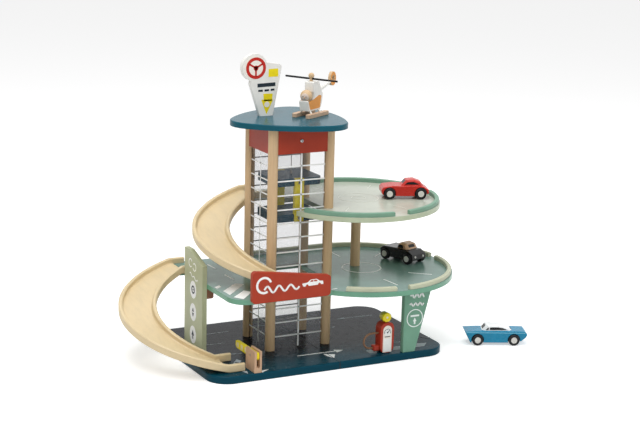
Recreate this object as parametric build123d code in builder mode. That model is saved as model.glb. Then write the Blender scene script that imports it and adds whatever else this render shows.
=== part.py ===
"""Wooden toy parking garage: two decks round a four-post lift tower, two curved ramps, a roof with
a helipad, signs, a fuel pump, a barrier, a helicopter and three cars.

Millimetres, Z up. The origin is on the underside of the base, on the centre line of the lift shaft.
X runs from the ramps to the round decks, and -Y is the front.
"""
import os
from math import atan2, cos, degrees, hypot, radians, sin, sqrt, tan

from build123d import *

os.makedirs("parts", exist_ok=True)

# ---------------------------------------------------------------- driving dimensions
# boards and levels
base_board = 12.0            # thickness of the two base boards
deck_board = 8.0             # thickness of both decks
sign_board = 8.0             # thickness of the printed signs
storey = 113.8               # from one driving surface to the next
glue_fit = 0.05              # radial or side clearance of glued joints
running_fit = 0.05           # radial clearance of turning pins
seat_gap = 0.2               # gap under pieces that only rest or roll
edge_round = 2.0             # rounding of the board edges
rail_bevel = 1.2

# base outline
base_left_x = -190.0
base_right_x = 226.0
base_front_y = -142.0
base_back_y = 129.0
base_corner = 36.0
base_split_x = 26.0
base_dowel_radius = 4.0
base_dowel_length = 40.0
base_dowel_y = 95.0

# lift tower
post_radius = 8.0
post_x = 50.0
post_y = 42.5
post_socket = 6.0            # depth of the blind holes that take the post ends
header_bottom_z = 333.0
header_height = 41.0
header_board = 10.0
window_sheet = 2.0
window_groove = 3.0          # depth of the grooves in posts and headers
post_screw_head = 3.6        # radius
post_screw_shank = 1.8       # radius
post_screw_length = 26.0
groove_fit = 0.1

# roof
roof_board = 9.0
roof_corner_reach = 102.0    # from the centre to the three rounded corners
roof_side_reach = 81.0       # from the centre to the three bowed sides
roof_corner_radius = 40.0

# decks
lower_disc_x = 127.0
lower_disc_y = -20.0
lower_disc_radius = 150.0
lower_deck_left_x = -149.0
lower_deck_front_y = -124.0
lower_deck_corner = 30.0
upper_disc_x = 123.0
upper_disc_radius = 139.0
shaft_gap = 2.0              # from the tower's windows to the edges of the deck openings
rail_width = 7.0
rail_height = 7.0
rail_inset = 2.0
deck_post_x = 125.0
deck_post_socket = 3.0

# ramps: both are the same moulding
ramp_radius = 96.0           # centre line
ramp_width = 60.0
ramp_floor = 4.0
ramp_rail = 6.5
ramp_rail_bevel = 1.6
ramp_rail_rise = 9.0         # rail top above the floor
ramp_centre_y = 2.0
upper_ramp_x = -31.0         # where the half turn starts and ends
lower_ramp_x = -157.0
ramp_rail_run = 26.0         # level rail ends beyond the half turn
ramp_floor_run = 6.0         # level floor ends beyond the half turn
tongue_fit = 0.5             # side clearance of the deck tongue between the rails
tongue_ledge = 4.0           # thickness of the ledge that carries the ramp floor

# lift
lift_length = 84.0
lift_depth = 72.0
lift_board = 12.0
lift_corner = 10.0
lift_headroom = 46.0
lift_floor_drop = 7.6        # cabin floor below the upper deck in the stored pose
lift_bar_width = 16.0
lift_bar_thickness = 8.0
lift_bar_notch = 5.0
lift_screw_head = 3.0
lift_screw_shank = 1.5
lift_screw_length = 14.0
axle_x = -2.5
axle_z = 353.0
drum_radius = 5.0
cord_radius = 0.75
cord_winding_turns = 4
cord_winding_pitch = 2.2
cord_knot_radius = 2.0
cord_knot_height = 7.0
crank_wheel_radius = 18.0
crank_wheel_thickness = 10.0
crank_wheel_gap = 2.0
crank_peg_radius = 4.0
crank_peg_offset = 11.0
crank_peg_length = 20.0

# signs and small furniture
long_sign_left_x = -124.0
long_sign_right_x = 11.5
long_sign_bottom_z = 120.5
long_sign_left_top_z = 172.5
long_sign_right_top_z = 154.0
long_sign_corner = 6.0
tall_sign_front_y = -15.0
tall_sign_back_y = 57.0
tall_sign_top_z = 171.0
tall_sign_chamfer_y = 52.0
tall_sign_chamfer_z = 16.0
tall_sign_tenon = 5.0
bracket_width = 13.0
bracket_height = 17.5
bracket_depth = 30.0
bracket_front_y = -12.0
support_left_x = 142.0
support_foot = 22.0
support_head = 50.0
support_board_thickness = 9.0
support_front_y = -139.0
roof_sign_disc_x = -53.5
roof_sign_disc_rise = 78.6
roof_sign_disc_radius = 22.0
roof_sign_y = 26.0
roof_sign_tab = 6.0

# fuel pump
pump_x = 117.5
pump_y = -121.5
pump_width = 25.0
pump_depth = 17.0
pump_height = 51.0
pump_globe_radius = 7.8
pump_globe_length = 13.0
hose_radius = 1.7
hose_z = 33.0                # height of the hose outlet above the base
nozzle_z = 9.0
nozzle_size = 10.0
hose_tail = 6.0

# barrier
barrier_x = -116.0
barrier_front_y = -140.0
barrier_width = 13.0
barrier_depth = 34.0
barrier_height = 34.0
barrier_slot = 5.6
barrier_arm_thickness = 5.0
barrier_arm_height = 12.0
barrier_arm_length = 78.0
barrier_tail = 15.0
barrier_pin_radius = 2.0
barrier_pivot_depth = 9.0    # pivot below the top of the block

# helicopter: its own axis runs from the nose to the tail
heli_x = 36.0
heli_y = 0.0
heli_heading = 31.0
heli_width = 17.0
heli_skid_height = 6.0
heli_skid_width = 8.5
heli_skid_length = 62.0
heli_skid_spacing = 25.5
heli_strut_radius = 1.6
heli_belly = 10.0            # belly above the roof
heli_top = 56.0
heli_pilot_radius = 9.8
heli_pin_radius = 2.6
heli_hub_radius = 4.8
heli_rotor_radius = 1.6
heli_rotor_span = 97.0
heli_boom_length = 42.0
boom_spigot = 6.0
heli_pin_depth = 12.0

# cars: wheels are the same on all three
wheel_radius = 9.4
wheel_width = 7.5
hub_radius = 5.0
hub_proud = 0.8
car_axle_radius = 1.5
car_width = 34.0
wheel_side_gap = 0.8
wheel_bevel = 0.9
arch_gap = 1.2               # between wheel and arch
arch_depth = 6.5
body_round = 1.5
cabin_width = 27.0
cabin_flat = 17.0            # width of the roof between the leaning sides
cabin_draw = 0.82            # size of the cabin's side view at its sides

# ---------------------------------------------------------------- levels worked out from these
base_top = base_board
lower_top = base_top + storey
upper_top = lower_top + storey
roof_bottom = header_bottom_z + header_height
roof_top = roof_bottom + roof_board
post_corners = {
    "front_left": (-post_x, -post_y),
    "front_right": (post_x, -post_y),
    "back_left": (-post_x, post_y),
    "back_right": (post_x, post_y),
}
post_points = list(post_corners.values())
post_hole_radius = post_radius + glue_fit
groove_width = window_sheet + 2 * groove_fit


def flat(z):
    """Horizontal plane at the height z."""
    return Plane.XY.offset(z)


def front_plane(y):
    """Upright plane that faces the front, with X to the right and Z up."""
    return Plane(origin=(0, y, 0), x_dir=(1, 0, 0), z_dir=(0, -1, 0))


def side_plane(x):
    """Upright plane that faces +X, with Y to the right and Z up."""
    return Plane(origin=(x, 0, 0), x_dir=(0, 1, 0), z_dir=(1, 0, 0))


# ---------------------------------------------------------------- base boards
def base_half(left_x, right_x, outer_x):
    """One base board, with its outer corners rounded and sockets for what stands on it."""
    with BuildPart() as board:
        with BuildSketch():
            with BuildLine():
                Polyline((left_x, base_front_y), (right_x, base_front_y), (right_x, base_back_y),
                         (left_x, base_back_y), close=True)
            make_face()
            corners = vertices().filter_by_position(Axis.X, outer_x - 1, outer_x + 1)
            fillet(corners, base_corner)
        extrude(amount=base_board)
        fillet(board.faces().sort_by(Axis.Z)[-1].edges(), edge_round)
        chamfer(board.faces().sort_by(Axis.Z)[0].edges(), edge_round / 2)
        near_posts = [p for p in post_points if left_x < p[0] < right_x]
        with BuildSketch(flat(base_top)):
            with Locations(*near_posts):
                Circle(post_hole_radius)
        extrude(amount=-post_socket, mode=Mode.SUBTRACT)
        with BuildSketch(flat(0)):
            with Locations(*near_posts):
                Circle(post_screw_shank + glue_fit)
        extrude(amount=base_board, mode=Mode.SUBTRACT)
        with BuildSketch(flat(0)):
            with Locations(*near_posts):
                Circle(post_screw_head)
        extrude(amount=post_screw_head - post_screw_shank, taper=45, mode=Mode.SUBTRACT)
        dowel_plane = side_plane(base_split_x)
        with BuildSketch(dowel_plane):
            with Locations((-base_dowel_y, base_board / 2), (base_dowel_y, base_board / 2)):
                Circle(base_dowel_radius + glue_fit)
        extrude(amount=base_dowel_length / 2, both=True, mode=Mode.SUBTRACT)
    return board


base_left = base_half(base_left_x, base_split_x, base_left_x)
base_right = base_half(base_split_x, base_right_x, base_right_x)

# the left board also takes the tenon of the tall sign, and the right board that of the support
tall_sign_left_x = lower_deck_left_x - sign_board
support_bottom_right = support_left_x + support_foot

with BuildPart() as base_left_board:
    add(base_left.part)
    with BuildSketch(flat(base_top)):
        with Locations((tall_sign_left_x + sign_board / 2, (tall_sign_front_y + tall_sign_back_y) / 2)):
            Rectangle(sign_board + 2 * glue_fit, (tall_sign_back_y - tall_sign_front_y) / 2 + 2 * glue_fit)
    extrude(amount=-tall_sign_tenon, mode=Mode.SUBTRACT)
base_left_board.part.label = "base_left"
export_step(base_left_board.part, "parts/base_left.step")

with BuildPart() as base_right_board:
    add(base_right.part)
    with BuildSketch(flat(base_top)):
        with Locations((support_left_x + support_foot / 2, support_front_y + support_board_thickness / 2)):
            Rectangle(support_foot / 2 + 2 * glue_fit, support_board_thickness + 2 * glue_fit)
    extrude(amount=-tall_sign_tenon, mode=Mode.SUBTRACT)
base_right_board.part.label = "base_right"
export_step(base_right_board.part, "parts/base_right.step")

with BuildPart() as base_dowels:
    with BuildSketch(side_plane(base_split_x)):
        with Locations((-base_dowel_y, base_board / 2), (base_dowel_y, base_board / 2)):
            Circle(base_dowel_radius)
    extrude(amount=base_dowel_length / 2 - glue_fit, both=True)
base_dowels.part.label = "base_dowels"
export_step(base_dowels.part, "parts/base_dowels.step")

with BuildPart() as post_screws:
    with BuildSketch(flat(0)):
        with Locations(*post_points):
            Circle(post_screw_head)
    extrude(amount=post_screw_head - post_screw_shank, taper=45)
    with BuildSketch(flat(0)):
        with Locations(*post_points):
            Circle(post_screw_shank)
    extrude(amount=post_screw_length)
post_screws.part.label = "post_screws"
export_step(post_screws.part, "parts/post_screws.step")

# ---------------------------------------------------------------- tower posts
post_bottom = base_top - post_socket
post_top = roof_bottom + post_socket - 1.0


def groove_cut(corner):
    """Sketch of the window grooves of one post: one towards each neighbouring window."""
    x, y = corner
    toward_x = -1 if x > 0 else 1
    toward_y = -1 if y > 0 else 1
    with Locations((x + toward_x * post_radius, y)):
        Rectangle(2 * window_groove, groove_width)
    if x < 0:
        with Locations((x, y + toward_y * post_radius)):
            Rectangle(groove_width, 2 * window_groove)


for name, corner in post_corners.items():
    with BuildPart() as tower_post:
        with BuildSketch(flat(post_bottom)):
            with Locations(corner):
                Circle(post_radius)
        extrude(amount=post_top - post_bottom)
        with BuildSketch(flat(base_top)):
            groove_cut(corner)
        extrude(amount=header_bottom_z + window_groove - base_top, mode=Mode.SUBTRACT)
        with BuildSketch(flat(post_bottom)):
            with Locations(corner):
                Circle(post_screw_shank + glue_fit)
        extrude(amount=post_screw_length - post_bottom, mode=Mode.SUBTRACT)
    tower_post.part.label = f"tower_post_{name}"
    export_step(tower_post.part, f"parts/tower_post_{name}.step")

# ---------------------------------------------------------------- headers and windows
window_edge = post_radius - window_groove + groove_fit   # from a post's axis to the sheet's edge


def header_between(start, end, holes=()):
    """Board between two posts, with ends coped round them and a groove for the window below."""
    along_x = start[1] == end[1]
    middle = ((start[0] + end[0]) / 2, (start[1] + end[1]) / 2)
    span = hypot(end[0] - start[0], end[1] - start[1])
    size = (span, header_board) if along_x else (header_board, span)
    groove = (span, groove_width) if along_x else (groove_width, span)
    with BuildPart() as board:
        with BuildSketch(flat(header_bottom_z)):
            with Locations(middle):
                Rectangle(*size)
            with Locations(start, end):
                Circle(post_hole_radius, mode=Mode.SUBTRACT)
        extrude(amount=header_height)
        with BuildSketch(flat(header_bottom_z)):
            with Locations(middle):
                Rectangle(*groove)
        extrude(amount=window_groove, mode=Mode.SUBTRACT)
        for radius in holes:
            with BuildSketch(front_plane(middle[1])):
                with Locations((axle_x, axle_z)):
                    Circle(radius)
            extrude(amount=header_board, both=True, mode=Mode.SUBTRACT)
    return board


def window_between(start, end):
    """Clear sheet that slides into the grooves of two posts and of the header above."""
    along_x = start[1] == end[1]
    middle = ((start[0] + end[0]) / 2, (start[1] + end[1]) / 2)
    width = hypot(end[0] - start[0], end[1] - start[1]) - 2 * window_edge
    size = (width, window_sheet) if along_x else (window_sheet, width)
    with BuildPart() as sheet:
        with BuildSketch(flat(base_top)):
            with Locations(middle):
                Rectangle(*size)
        extrude(amount=header_bottom_z + window_groove - groove_fit - base_top)
    return sheet


axle_screw_shank = 1.5
sides = {
    "front": ("front_left", "front_right", (axle_screw_shank + running_fit,)),
    "back": ("back_left", "back_right", (drum_radius + running_fit,)),
    "left": ("front_left", "back_left", ()),
    "right": ("front_right", "back_right", ()),
}
side_headers = {}
for side, (start, end, holes) in sides.items():
    side_headers[side] = header_between(post_corners[start], post_corners[end], holes)

for side in ("front", "back"):
    side_headers[side].part.label = f"header_{side}"
    export_step(side_headers[side].part, f"parts/header_{side}.step")

with BuildPart() as header_sides:
    add(side_headers["left"].part)
    add(side_headers["right"].part)
header_sides.part.label = "header_sides"
export_step(header_sides.part, "parts/header_sides.step")

side_windows = [window_between(post_corners[sides[side][0]], post_corners[sides[side][1]])
                for side in ("front", "back", "left")]
with BuildPart() as windows:
    for window in side_windows:
        add(window.part)
windows.part.label = "windows"
export_step(windows.part, "parts/windows.step")

# ---------------------------------------------------------------- roof
corner_centre = roof_corner_reach - roof_corner_radius
side_from_corner = roof_side_reach - roof_corner_radius
half_chord = corner_centre * sin(radians(60))
# centre of each bowed side lies behind the middle of the roof, so that it meets the corner arcs smoothly
side_centre = ((corner_centre / 2) ** 2 + half_chord ** 2 - side_from_corner ** 2) / (
    2 * side_from_corner - corner_centre)
side_radius = roof_side_reach + side_centre
side_half_angle = degrees(atan2(half_chord, corner_centre / 2 + side_centre))
roof_sign_foot_left = -43.6
roof_sign_foot_right = -20.7
roof_sign_tab_width = 16.0
roof_sign_tab_x = (roof_sign_foot_left + roof_sign_foot_right) / 2

with BuildPart() as roof_deck:
    with BuildSketch(flat(roof_bottom)):
        with BuildLine():
            for turn in (0, 120, 240):
                back = turn + 180
                CenterArc((side_centre * cos(radians(back)), side_centre * sin(radians(back))),
                          side_radius, turn - side_half_angle, 2 * side_half_angle)
                corner = turn + 60
                CenterArc((corner_centre * cos(radians(corner)), corner_centre * sin(radians(corner))),
                          roof_corner_radius, turn + side_half_angle, 120 - 2 * side_half_angle)
        make_face()
    extrude(amount=roof_board)
    fillet(roof_deck.faces().sort_by(Axis.Z)[-1].edges(), edge_round)
    with BuildSketch(flat(roof_bottom)):
        with Locations(*post_points):
            Circle(post_hole_radius)
    extrude(amount=post_socket - 1.0, mode=Mode.SUBTRACT)
    with BuildSketch(flat(roof_top)):
        with Locations((roof_sign_tab_x, roof_sign_y)):
            Rectangle(roof_sign_tab_width + 2 * glue_fit, sign_board + 2 * glue_fit)
    extrude(amount=-roof_sign_tab, mode=Mode.SUBTRACT)
roof_deck.part.label = "roof_deck"
export_step(roof_deck.part, "parts/roof_deck.step")

with BuildPart() as roof_sign:
    with BuildSketch(front_plane(roof_sign_y)):
        with BuildLine():
            Polyline((roof_sign_foot_left, roof_top), (roof_sign_foot_right, roof_top),
                     (-5.6, roof_top + 81.5), (-52.0, roof_top + 90.0), (-61.0, roof_top + 52.0), close=True)
        make_face()
        fillet(vertices().group_by(Axis.Y)[-1], 5.0)
        fillet(vertices().sort_by(Axis.X)[-1], 5.0)
        with Locations((roof_sign_disc_x, roof_top + roof_sign_disc_rise)):
            Circle(roof_sign_disc_radius)
        with Locations((roof_sign_tab_x, roof_top - roof_sign_tab / 2)):
            Rectangle(roof_sign_tab_width, roof_sign_tab)
    extrude(amount=sign_board / 2, both=True)
roof_sign.part.label = "roof_sign"
export_step(roof_sign.part, "parts/roof_sign.step")

# ---------------------------------------------------------------- decks
tongue_width = ramp_width - 2 * ramp_rail - 2 * tongue_fit
ramp_line_y = ramp_centre_y + ramp_radius       # where both ramps start
shaft_left_x = -post_x - window_sheet / 2 - shaft_gap
shaft_right_x = post_x - post_radius + shaft_gap
shaft_half_depth = post_y + window_sheet / 2 + shaft_gap
rail_clearance = 3.0


def deck_openings():
    """Opening for the lift shaft with its windows, and the holes for the posts."""
    with Locations(((shaft_left_x + shaft_right_x) / 2, 0)):
        Rectangle(shaft_right_x - shaft_left_x, 2 * shaft_half_depth, mode=Mode.SUBTRACT)
    with Locations(*post_points):
        Circle(post_hole_radius, mode=Mode.SUBTRACT)


def deck_tongue(end_x, root_x, top):
    """Tongue between the ramp's rails, and the ledge under the ramp's floor."""
    with BuildPart() as tongue:
        with BuildSketch(flat(top - deck_board)):
            with Locations(((end_x + root_x) / 2, ramp_line_y)):
                Rectangle(root_x - end_x, tongue_width)
        extrude(amount=deck_board)
        with BuildSketch(flat(top - deck_board)):
            with Locations((end_x - ramp_floor_run / 2, ramp_line_y)):
                Rectangle(ramp_floor_run, tongue_width)
        extrude(amount=deck_board - tongue_ledge)
    return tongue


lower_tongue_end = lower_ramp_x + ramp_floor_run + seat_gap
lower_notch_x = lower_ramp_x + ramp_rail_run + rail_clearance
lower_notch_y = ramp_line_y - ramp_width / 2 - rail_clearance
lower_back_y = lower_disc_y + lower_disc_radius

lower_tongue = deck_tongue(lower_tongue_end, lower_notch_x, lower_top)
with BuildPart() as lower_deck:
    with BuildSketch(flat(lower_top - deck_board)):
        with BuildLine():
            Polyline((lower_deck_left_x, lower_deck_front_y), (lower_disc_x, lower_deck_front_y),
                     (lower_disc_x, lower_back_y), (lower_notch_x, lower_back_y),
                     (lower_notch_x, lower_notch_y), (lower_deck_left_x, lower_notch_y), close=True)
        make_face()
        fillet(vertices().group_by(Axis.X)[0].sort_by(Axis.Y)[0], lower_deck_corner)
        with Locations((lower_disc_x, lower_disc_y)):
            Circle(lower_disc_radius)
        deck_openings()
    extrude(amount=deck_board)
    add(lower_tongue.part)
    with BuildSketch(flat(lower_top)):
        with Locations((deck_post_x, 0)):
            Circle(post_hole_radius)
    extrude(amount=-deck_post_socket, mode=Mode.SUBTRACT)
lower_deck.part.label = "lower_deck"
export_step(lower_deck.part, "parts/lower_deck.step")

upper_tongue_end = upper_ramp_x + ramp_floor_run + seat_gap
upper_tongue_root = upper_disc_x - sqrt(upper_disc_radius ** 2 - (ramp_line_y + tongue_width / 2) ** 2) + 10

upper_tongue = deck_tongue(upper_tongue_end, upper_tongue_root, upper_top)
with BuildPart() as upper_deck:
    with BuildSketch(flat(upper_top - deck_board)):
        with Locations((upper_disc_x, 0)):
            Circle(upper_disc_radius)
        deck_openings()
    extrude(amount=deck_board)
    add(upper_tongue.part)
    with BuildSketch(flat(upper_top - deck_board)):
        with Locations((deck_post_x, 0)):
            Circle(post_hole_radius)
    extrude(amount=deck_post_socket, mode=Mode.SUBTRACT)
upper_deck.part.label = "upper_deck"
export_step(upper_deck.part, "parts/upper_deck.step")

with BuildPart() as deck_post:
    with BuildSketch(flat(lower_top - deck_post_socket)):
        with Locations((deck_post_x, 0)):
            Circle(post_radius)
    extrude(amount=storey - deck_board + 2 * deck_post_socket)
deck_post.part.label = "deck_post"
export_step(deck_post.part, "parts/deck_post.step")


def curved_rail(centre, outer_radius, z, start, end):
    """Plan of one rail that follows a round deck edge, from one angle to another."""
    inner_radius = outer_radius - rail_width
    with BuildSketch(flat(z)) as plan:
        with BuildLine():
            CenterArc(centre, outer_radius, start, end - start)
            CenterArc(centre, inner_radius, start, end - start)
            for angle in (start, end):
                ray = (cos(radians(angle)), sin(radians(angle)))
                Line((centre[0] + inner_radius * ray[0], centre[1] + inner_radius * ray[1]),
                     (centre[0] + outer_radius * ray[0], centre[1] + outer_radius * ray[1]))
        make_face()
    return plan.sketch


upper_rail_angles = [(-155, -91), (-79, -5), (8, 112)]
with BuildPart() as upper_deck_rails:
    for start, end in upper_rail_angles:
        rail_plan = curved_rail((upper_disc_x, 0), upper_disc_radius - rail_inset, upper_top, start, end)
        extrude(rail_plan, amount=rail_height)
    chamfer(upper_deck_rails.faces().group_by(Axis.Z)[-1].edges(), rail_bevel)
upper_deck_rails.part.label = "upper_deck_rails"
export_step(upper_deck_rails.part, "parts/upper_deck_rails.step")

lower_rail_angles = [(-128, -96), (-87, 1), (8, 90)]
back_rail_left_x = -60.0
with BuildPart() as lower_deck_rails:
    for start, end in lower_rail_angles:
        rail_plan = curved_rail((lower_disc_x, lower_disc_y), lower_disc_radius - rail_inset, lower_top, start, end)
        extrude(rail_plan, amount=rail_height)
    with BuildSketch(flat(lower_top)):
        with Locations(((lower_disc_x + back_rail_left_x) / 2, lower_back_y - rail_inset - rail_width / 2)):
            Rectangle(lower_disc_x - back_rail_left_x, rail_width)
    extrude(amount=rail_height)
    chamfer(lower_deck_rails.faces().group_by(Axis.Z)[-1].edges(), rail_bevel)
lower_deck_rails.part.label = "lower_deck_rails"
export_step(lower_deck_rails.part, "parts/lower_deck_rails.step")

# ---------------------------------------------------------------- ramps
ramp_depth = ramp_floor + ramp_rail_rise
ramp_drop = storey - ramp_floor


def channel_section(plane, with_floor=True):
    """Section across the ramp: a floor between two rails with bevelled tops."""
    with BuildSketch(plane) as section:
        Rectangle(ramp_width, ramp_depth, align=(Align.CENTER, Align.MIN))
        low = 0 if not with_floor else ramp_floor
        with Locations((0, low)):
            Rectangle(ramp_width - 2 * ramp_rail, ramp_depth - low, align=(Align.CENTER, Align.MIN),
                      mode=Mode.SUBTRACT)
        top_corners = vertices().group_by(Axis.Z)[-1]
        chamfer(top_corners, ramp_rail_bevel)
    return section.sketch


def make_ramp(turn_x, foot_z):
    """Half-turn ramp: a helical channel with level rail ends over both decks."""
    head_z = foot_z + ramp_drop
    foot_y = ramp_centre_y - ramp_radius
    foot_plane = Plane(origin=(turn_x, foot_y, foot_z), x_dir=(0, -1, 0), z_dir=(-1, 0, 0))
    head_plane = Plane(origin=(turn_x, ramp_line_y, head_z), x_dir=(0, 1, 0), z_dir=(1, 0, 0))
    turn_plane = Plane(origin=(turn_x, ramp_centre_y, foot_z), x_dir=(0, -1, 0), z_dir=(0, 0, 1))
    turn = turn_plane * Helix(pitch=2 * ramp_drop, height=ramp_drop, radius=ramp_radius, lefthand=True)
    with BuildPart() as ramp:
        sweep(sections=channel_section(foot_plane), path=turn, is_frenet=True)
        for plane, way in ((head_plane, 1), (foot_plane, -1)):
            extrude(channel_section(plane), amount=way * ramp_floor_run)
            extrude(channel_section(plane, with_floor=False), amount=way * ramp_rail_run)
    return ramp


for name, turn_x, foot_z in (("upper_ramp", upper_ramp_x, lower_top), ("lower_ramp", lower_ramp_x, base_top)):
    ramp = make_ramp(turn_x, foot_z)
    ramp.part.label = name
    export_step(ramp.part, f"parts/{name}.step")

# ---------------------------------------------------------------- lift cabin
lift_floor_top = upper_top - lift_floor_drop
lift_floor_bottom = lift_floor_top - lift_board
lift_roof_bottom = lift_floor_top + lift_headroom
lift_roof_top = lift_roof_bottom + lift_board
lift_bar_inner_y = lift_depth / 2 - lift_bar_notch
lift_screw_heights = (lift_floor_bottom + lift_board / 2, lift_roof_bottom + lift_board / 2)
cord_x = axle_x + drum_radius + cord_radius


def lift_plate(bottom):
    """Cabin board with rounded corners, notched for the two bars and drilled for their screws."""
    with BuildPart() as plate:
        with BuildSketch(flat(bottom)):
            RectangleRounded(lift_length, lift_depth, lift_corner)
            for way in (-1, 1):
                with Locations((0, way * lift_depth / 2)):
                    Rectangle(lift_bar_width + 2 * glue_fit, 2 * (lift_bar_notch + glue_fit), mode=Mode.SUBTRACT)
        extrude(amount=lift_board)
        with BuildSketch(front_plane(0)):
            with Locations((0, bottom + lift_board / 2)):
                Circle(lift_screw_shank + glue_fit)
        extrude(amount=lift_depth, both=True, mode=Mode.SUBTRACT)
    return plate


lift_floor = lift_plate(lift_floor_bottom)
lift_floor.part.label = "lift_floor"
export_step(lift_floor.part, "parts/lift_floor.step")

lift_roof = lift_plate(lift_roof_bottom)
lift_roof.part.label = "lift_roof"
export_step(lift_roof.part, "parts/lift_roof.step")

with BuildPart() as lift_bars:
    for way in (-1, 1):
        middle_y = way * (lift_bar_inner_y + lift_bar_thickness / 2)
        with BuildSketch(flat(lift_floor_bottom)):
            with Locations((0, middle_y)):
                Rectangle(lift_bar_width, lift_bar_thickness)
        extrude(amount=lift_roof_top - lift_floor_bottom)
    chamfer(lift_bars.edges().filter_by(Axis.Z), 0.8)
    for height in lift_screw_heights:
        with BuildSketch(front_plane(0)):
            with Locations((0, height)):
                Circle(lift_screw_shank + glue_fit)
        extrude(amount=lift_depth, both=True, mode=Mode.SUBTRACT)
lift_bars.part.label = "lift_bars"
export_step(lift_bars.part, "parts/lift_bars.step")

with BuildPart() as lift_screws:
    for way in (-1, 1):
        face_y = way * (lift_bar_inner_y + lift_bar_thickness)
        screw_plane = Plane(origin=(0, face_y, 0), x_dir=(1, 0, 0), z_dir=(0, -way, 0))
        for height in lift_screw_heights:
            with BuildSketch(screw_plane):
                with Locations(screw_plane.to_local_coords(Vector(0, face_y, height))):
                    Circle(lift_screw_shank)
            extrude(amount=lift_screw_length)
            with BuildSketch(screw_plane):
                with Locations(screw_plane.to_local_coords(Vector(0, face_y, height))):
                    Circle(lift_screw_head)
            extrude(amount=-1.2)
lift_screws.part.label = "lift_screws"
export_step(lift_screws.part, "parts/lift_screws.step")

with BuildPart() as cord_knot:
    with BuildSketch(flat(lift_roof_top)):
        with Locations((cord_x, 0)):
            Circle(cord_knot_radius)
    extrude(amount=cord_knot_height)
    fillet(cord_knot.faces().sort_by(Axis.Z)[-1].edges(), 0.8)
cord_knot.part.label = "cord_knot"
export_step(cord_knot.part, "parts/cord_knot.step")

with BuildPart() as lift_cord:
    with BuildSketch(flat(lift_roof_top + cord_knot_height)):
        with Locations((cord_x, 0)):
            Circle(cord_radius)
    extrude(amount=axle_z - lift_roof_top - cord_knot_height)
lift_cord.part.label = "lift_cord"
export_step(lift_cord.part, "parts/lift_cord.step")

# ---------------------------------------------------------------- winch
header_inner_y = post_y - header_board / 2
header_outer_y = post_y + header_board / 2
drum_end_play = 0.6
drum_front_y = -header_inner_y + drum_end_play
wheel_front_y = header_outer_y + crank_wheel_gap
wheel_back_y = wheel_front_y + crank_wheel_thickness
axle_screw_head_radius = 2.8
axle_screw_grip = 16.0

with BuildPart() as winch_drum:
    with BuildSketch(front_plane(wheel_back_y)):
        with Locations((axle_x, axle_z)):
            Circle(drum_radius)
    extrude(amount=wheel_back_y - drum_front_y)
    with BuildSketch(front_plane(drum_front_y)):
        with Locations((axle_x, axle_z)):
            Circle(axle_screw_shank + glue_fit)
    extrude(amount=-axle_screw_grip, mode=Mode.SUBTRACT)
winch_drum.part.label = "winch_drum"
export_step(winch_drum.part, "parts/winch_drum.step")

with BuildPart() as crank_wheel:
    with BuildSketch(front_plane(wheel_back_y)):
        with Locations((axle_x, axle_z)):
            Circle(crank_wheel_radius)
            Circle(drum_radius + glue_fit, mode=Mode.SUBTRACT)
    extrude(amount=crank_wheel_thickness)
    rim = crank_wheel.edges().filter_by(GeomType.CIRCLE).filter_by(lambda e: e.radius > crank_wheel_radius - 1)
    chamfer(rim, 1.2)
    with BuildSketch(front_plane(wheel_back_y)):
        with Locations((axle_x - crank_peg_offset, axle_z)):
            Circle(crank_peg_radius)
    extrude(amount=-crank_peg_length)
    chamfer(crank_wheel.faces().sort_by(Axis.Y)[-1].edges(), 1.5)
crank_wheel.part.label = "crank_wheel"
export_step(crank_wheel.part, "parts/crank_wheel.step")

with BuildPart() as axle_screw:
    with BuildSketch(front_plane(-header_outer_y - seat_gap)):
        with Locations((axle_x, axle_z)):
            Circle(axle_screw_head_radius)
    extrude(amount=1.6)
    chamfer(axle_screw.faces().sort_by(Axis.Y)[0].edges(), 0.8)
    with BuildSketch(front_plane(-header_outer_y - seat_gap)):
        with Locations((axle_x, axle_z)):
            Circle(axle_screw_shank)
    extrude(amount=-(header_board + seat_gap + drum_end_play + axle_screw_grip - 1.0))
axle_screw.part.label = "axle_screw"
export_step(axle_screw.part, "parts/axle_screw.step")

# the cord's turns on the drum, as one unbroken helical tube
winding_length = cord_winding_turns * cord_winding_pitch
winding_radius = drum_radius + cord_radius + 0.02
winding_plane = Plane(origin=(axle_x, 2 * cord_radius + 0.2, axle_z), x_dir=(1, 0, 0), z_dir=(0, 1, 0))
coil = winding_plane * Helix(pitch=cord_winding_pitch, height=winding_length, radius=winding_radius)
with BuildPart() as cord_winding:
    with BuildSketch(Plane(origin=coil @ 0, z_dir=coil % 0)):
        RegularPolygon(cord_radius, 8)
    sweep(path=coil, is_frenet=True)
cord_winding.part.label = "cord_winding"
export_step(cord_winding.part, "parts/cord_winding.step")
print("cord winding: least gap between turns", round(cord_winding_pitch - 2 * cord_radius, 2), "mm")

# ---------------------------------------------------------------- signs, bracket and support
with BuildPart() as long_sign:
    with BuildSketch(front_plane(lower_deck_front_y)):
        with BuildLine():
            Polyline((long_sign_left_x, long_sign_bottom_z), (long_sign_right_x, long_sign_bottom_z),
                     (long_sign_right_x, long_sign_right_top_z), (long_sign_left_x, long_sign_left_top_z),
                     close=True)
        make_face()
        fillet(vertices(), long_sign_corner)
    extrude(amount=sign_board)
    fillet(long_sign.faces().sort_by(Axis.Y)[0].edges(), 1.0)
long_sign.part.label = "long_sign"
export_step(long_sign.part, "parts/long_sign.step")

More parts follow.
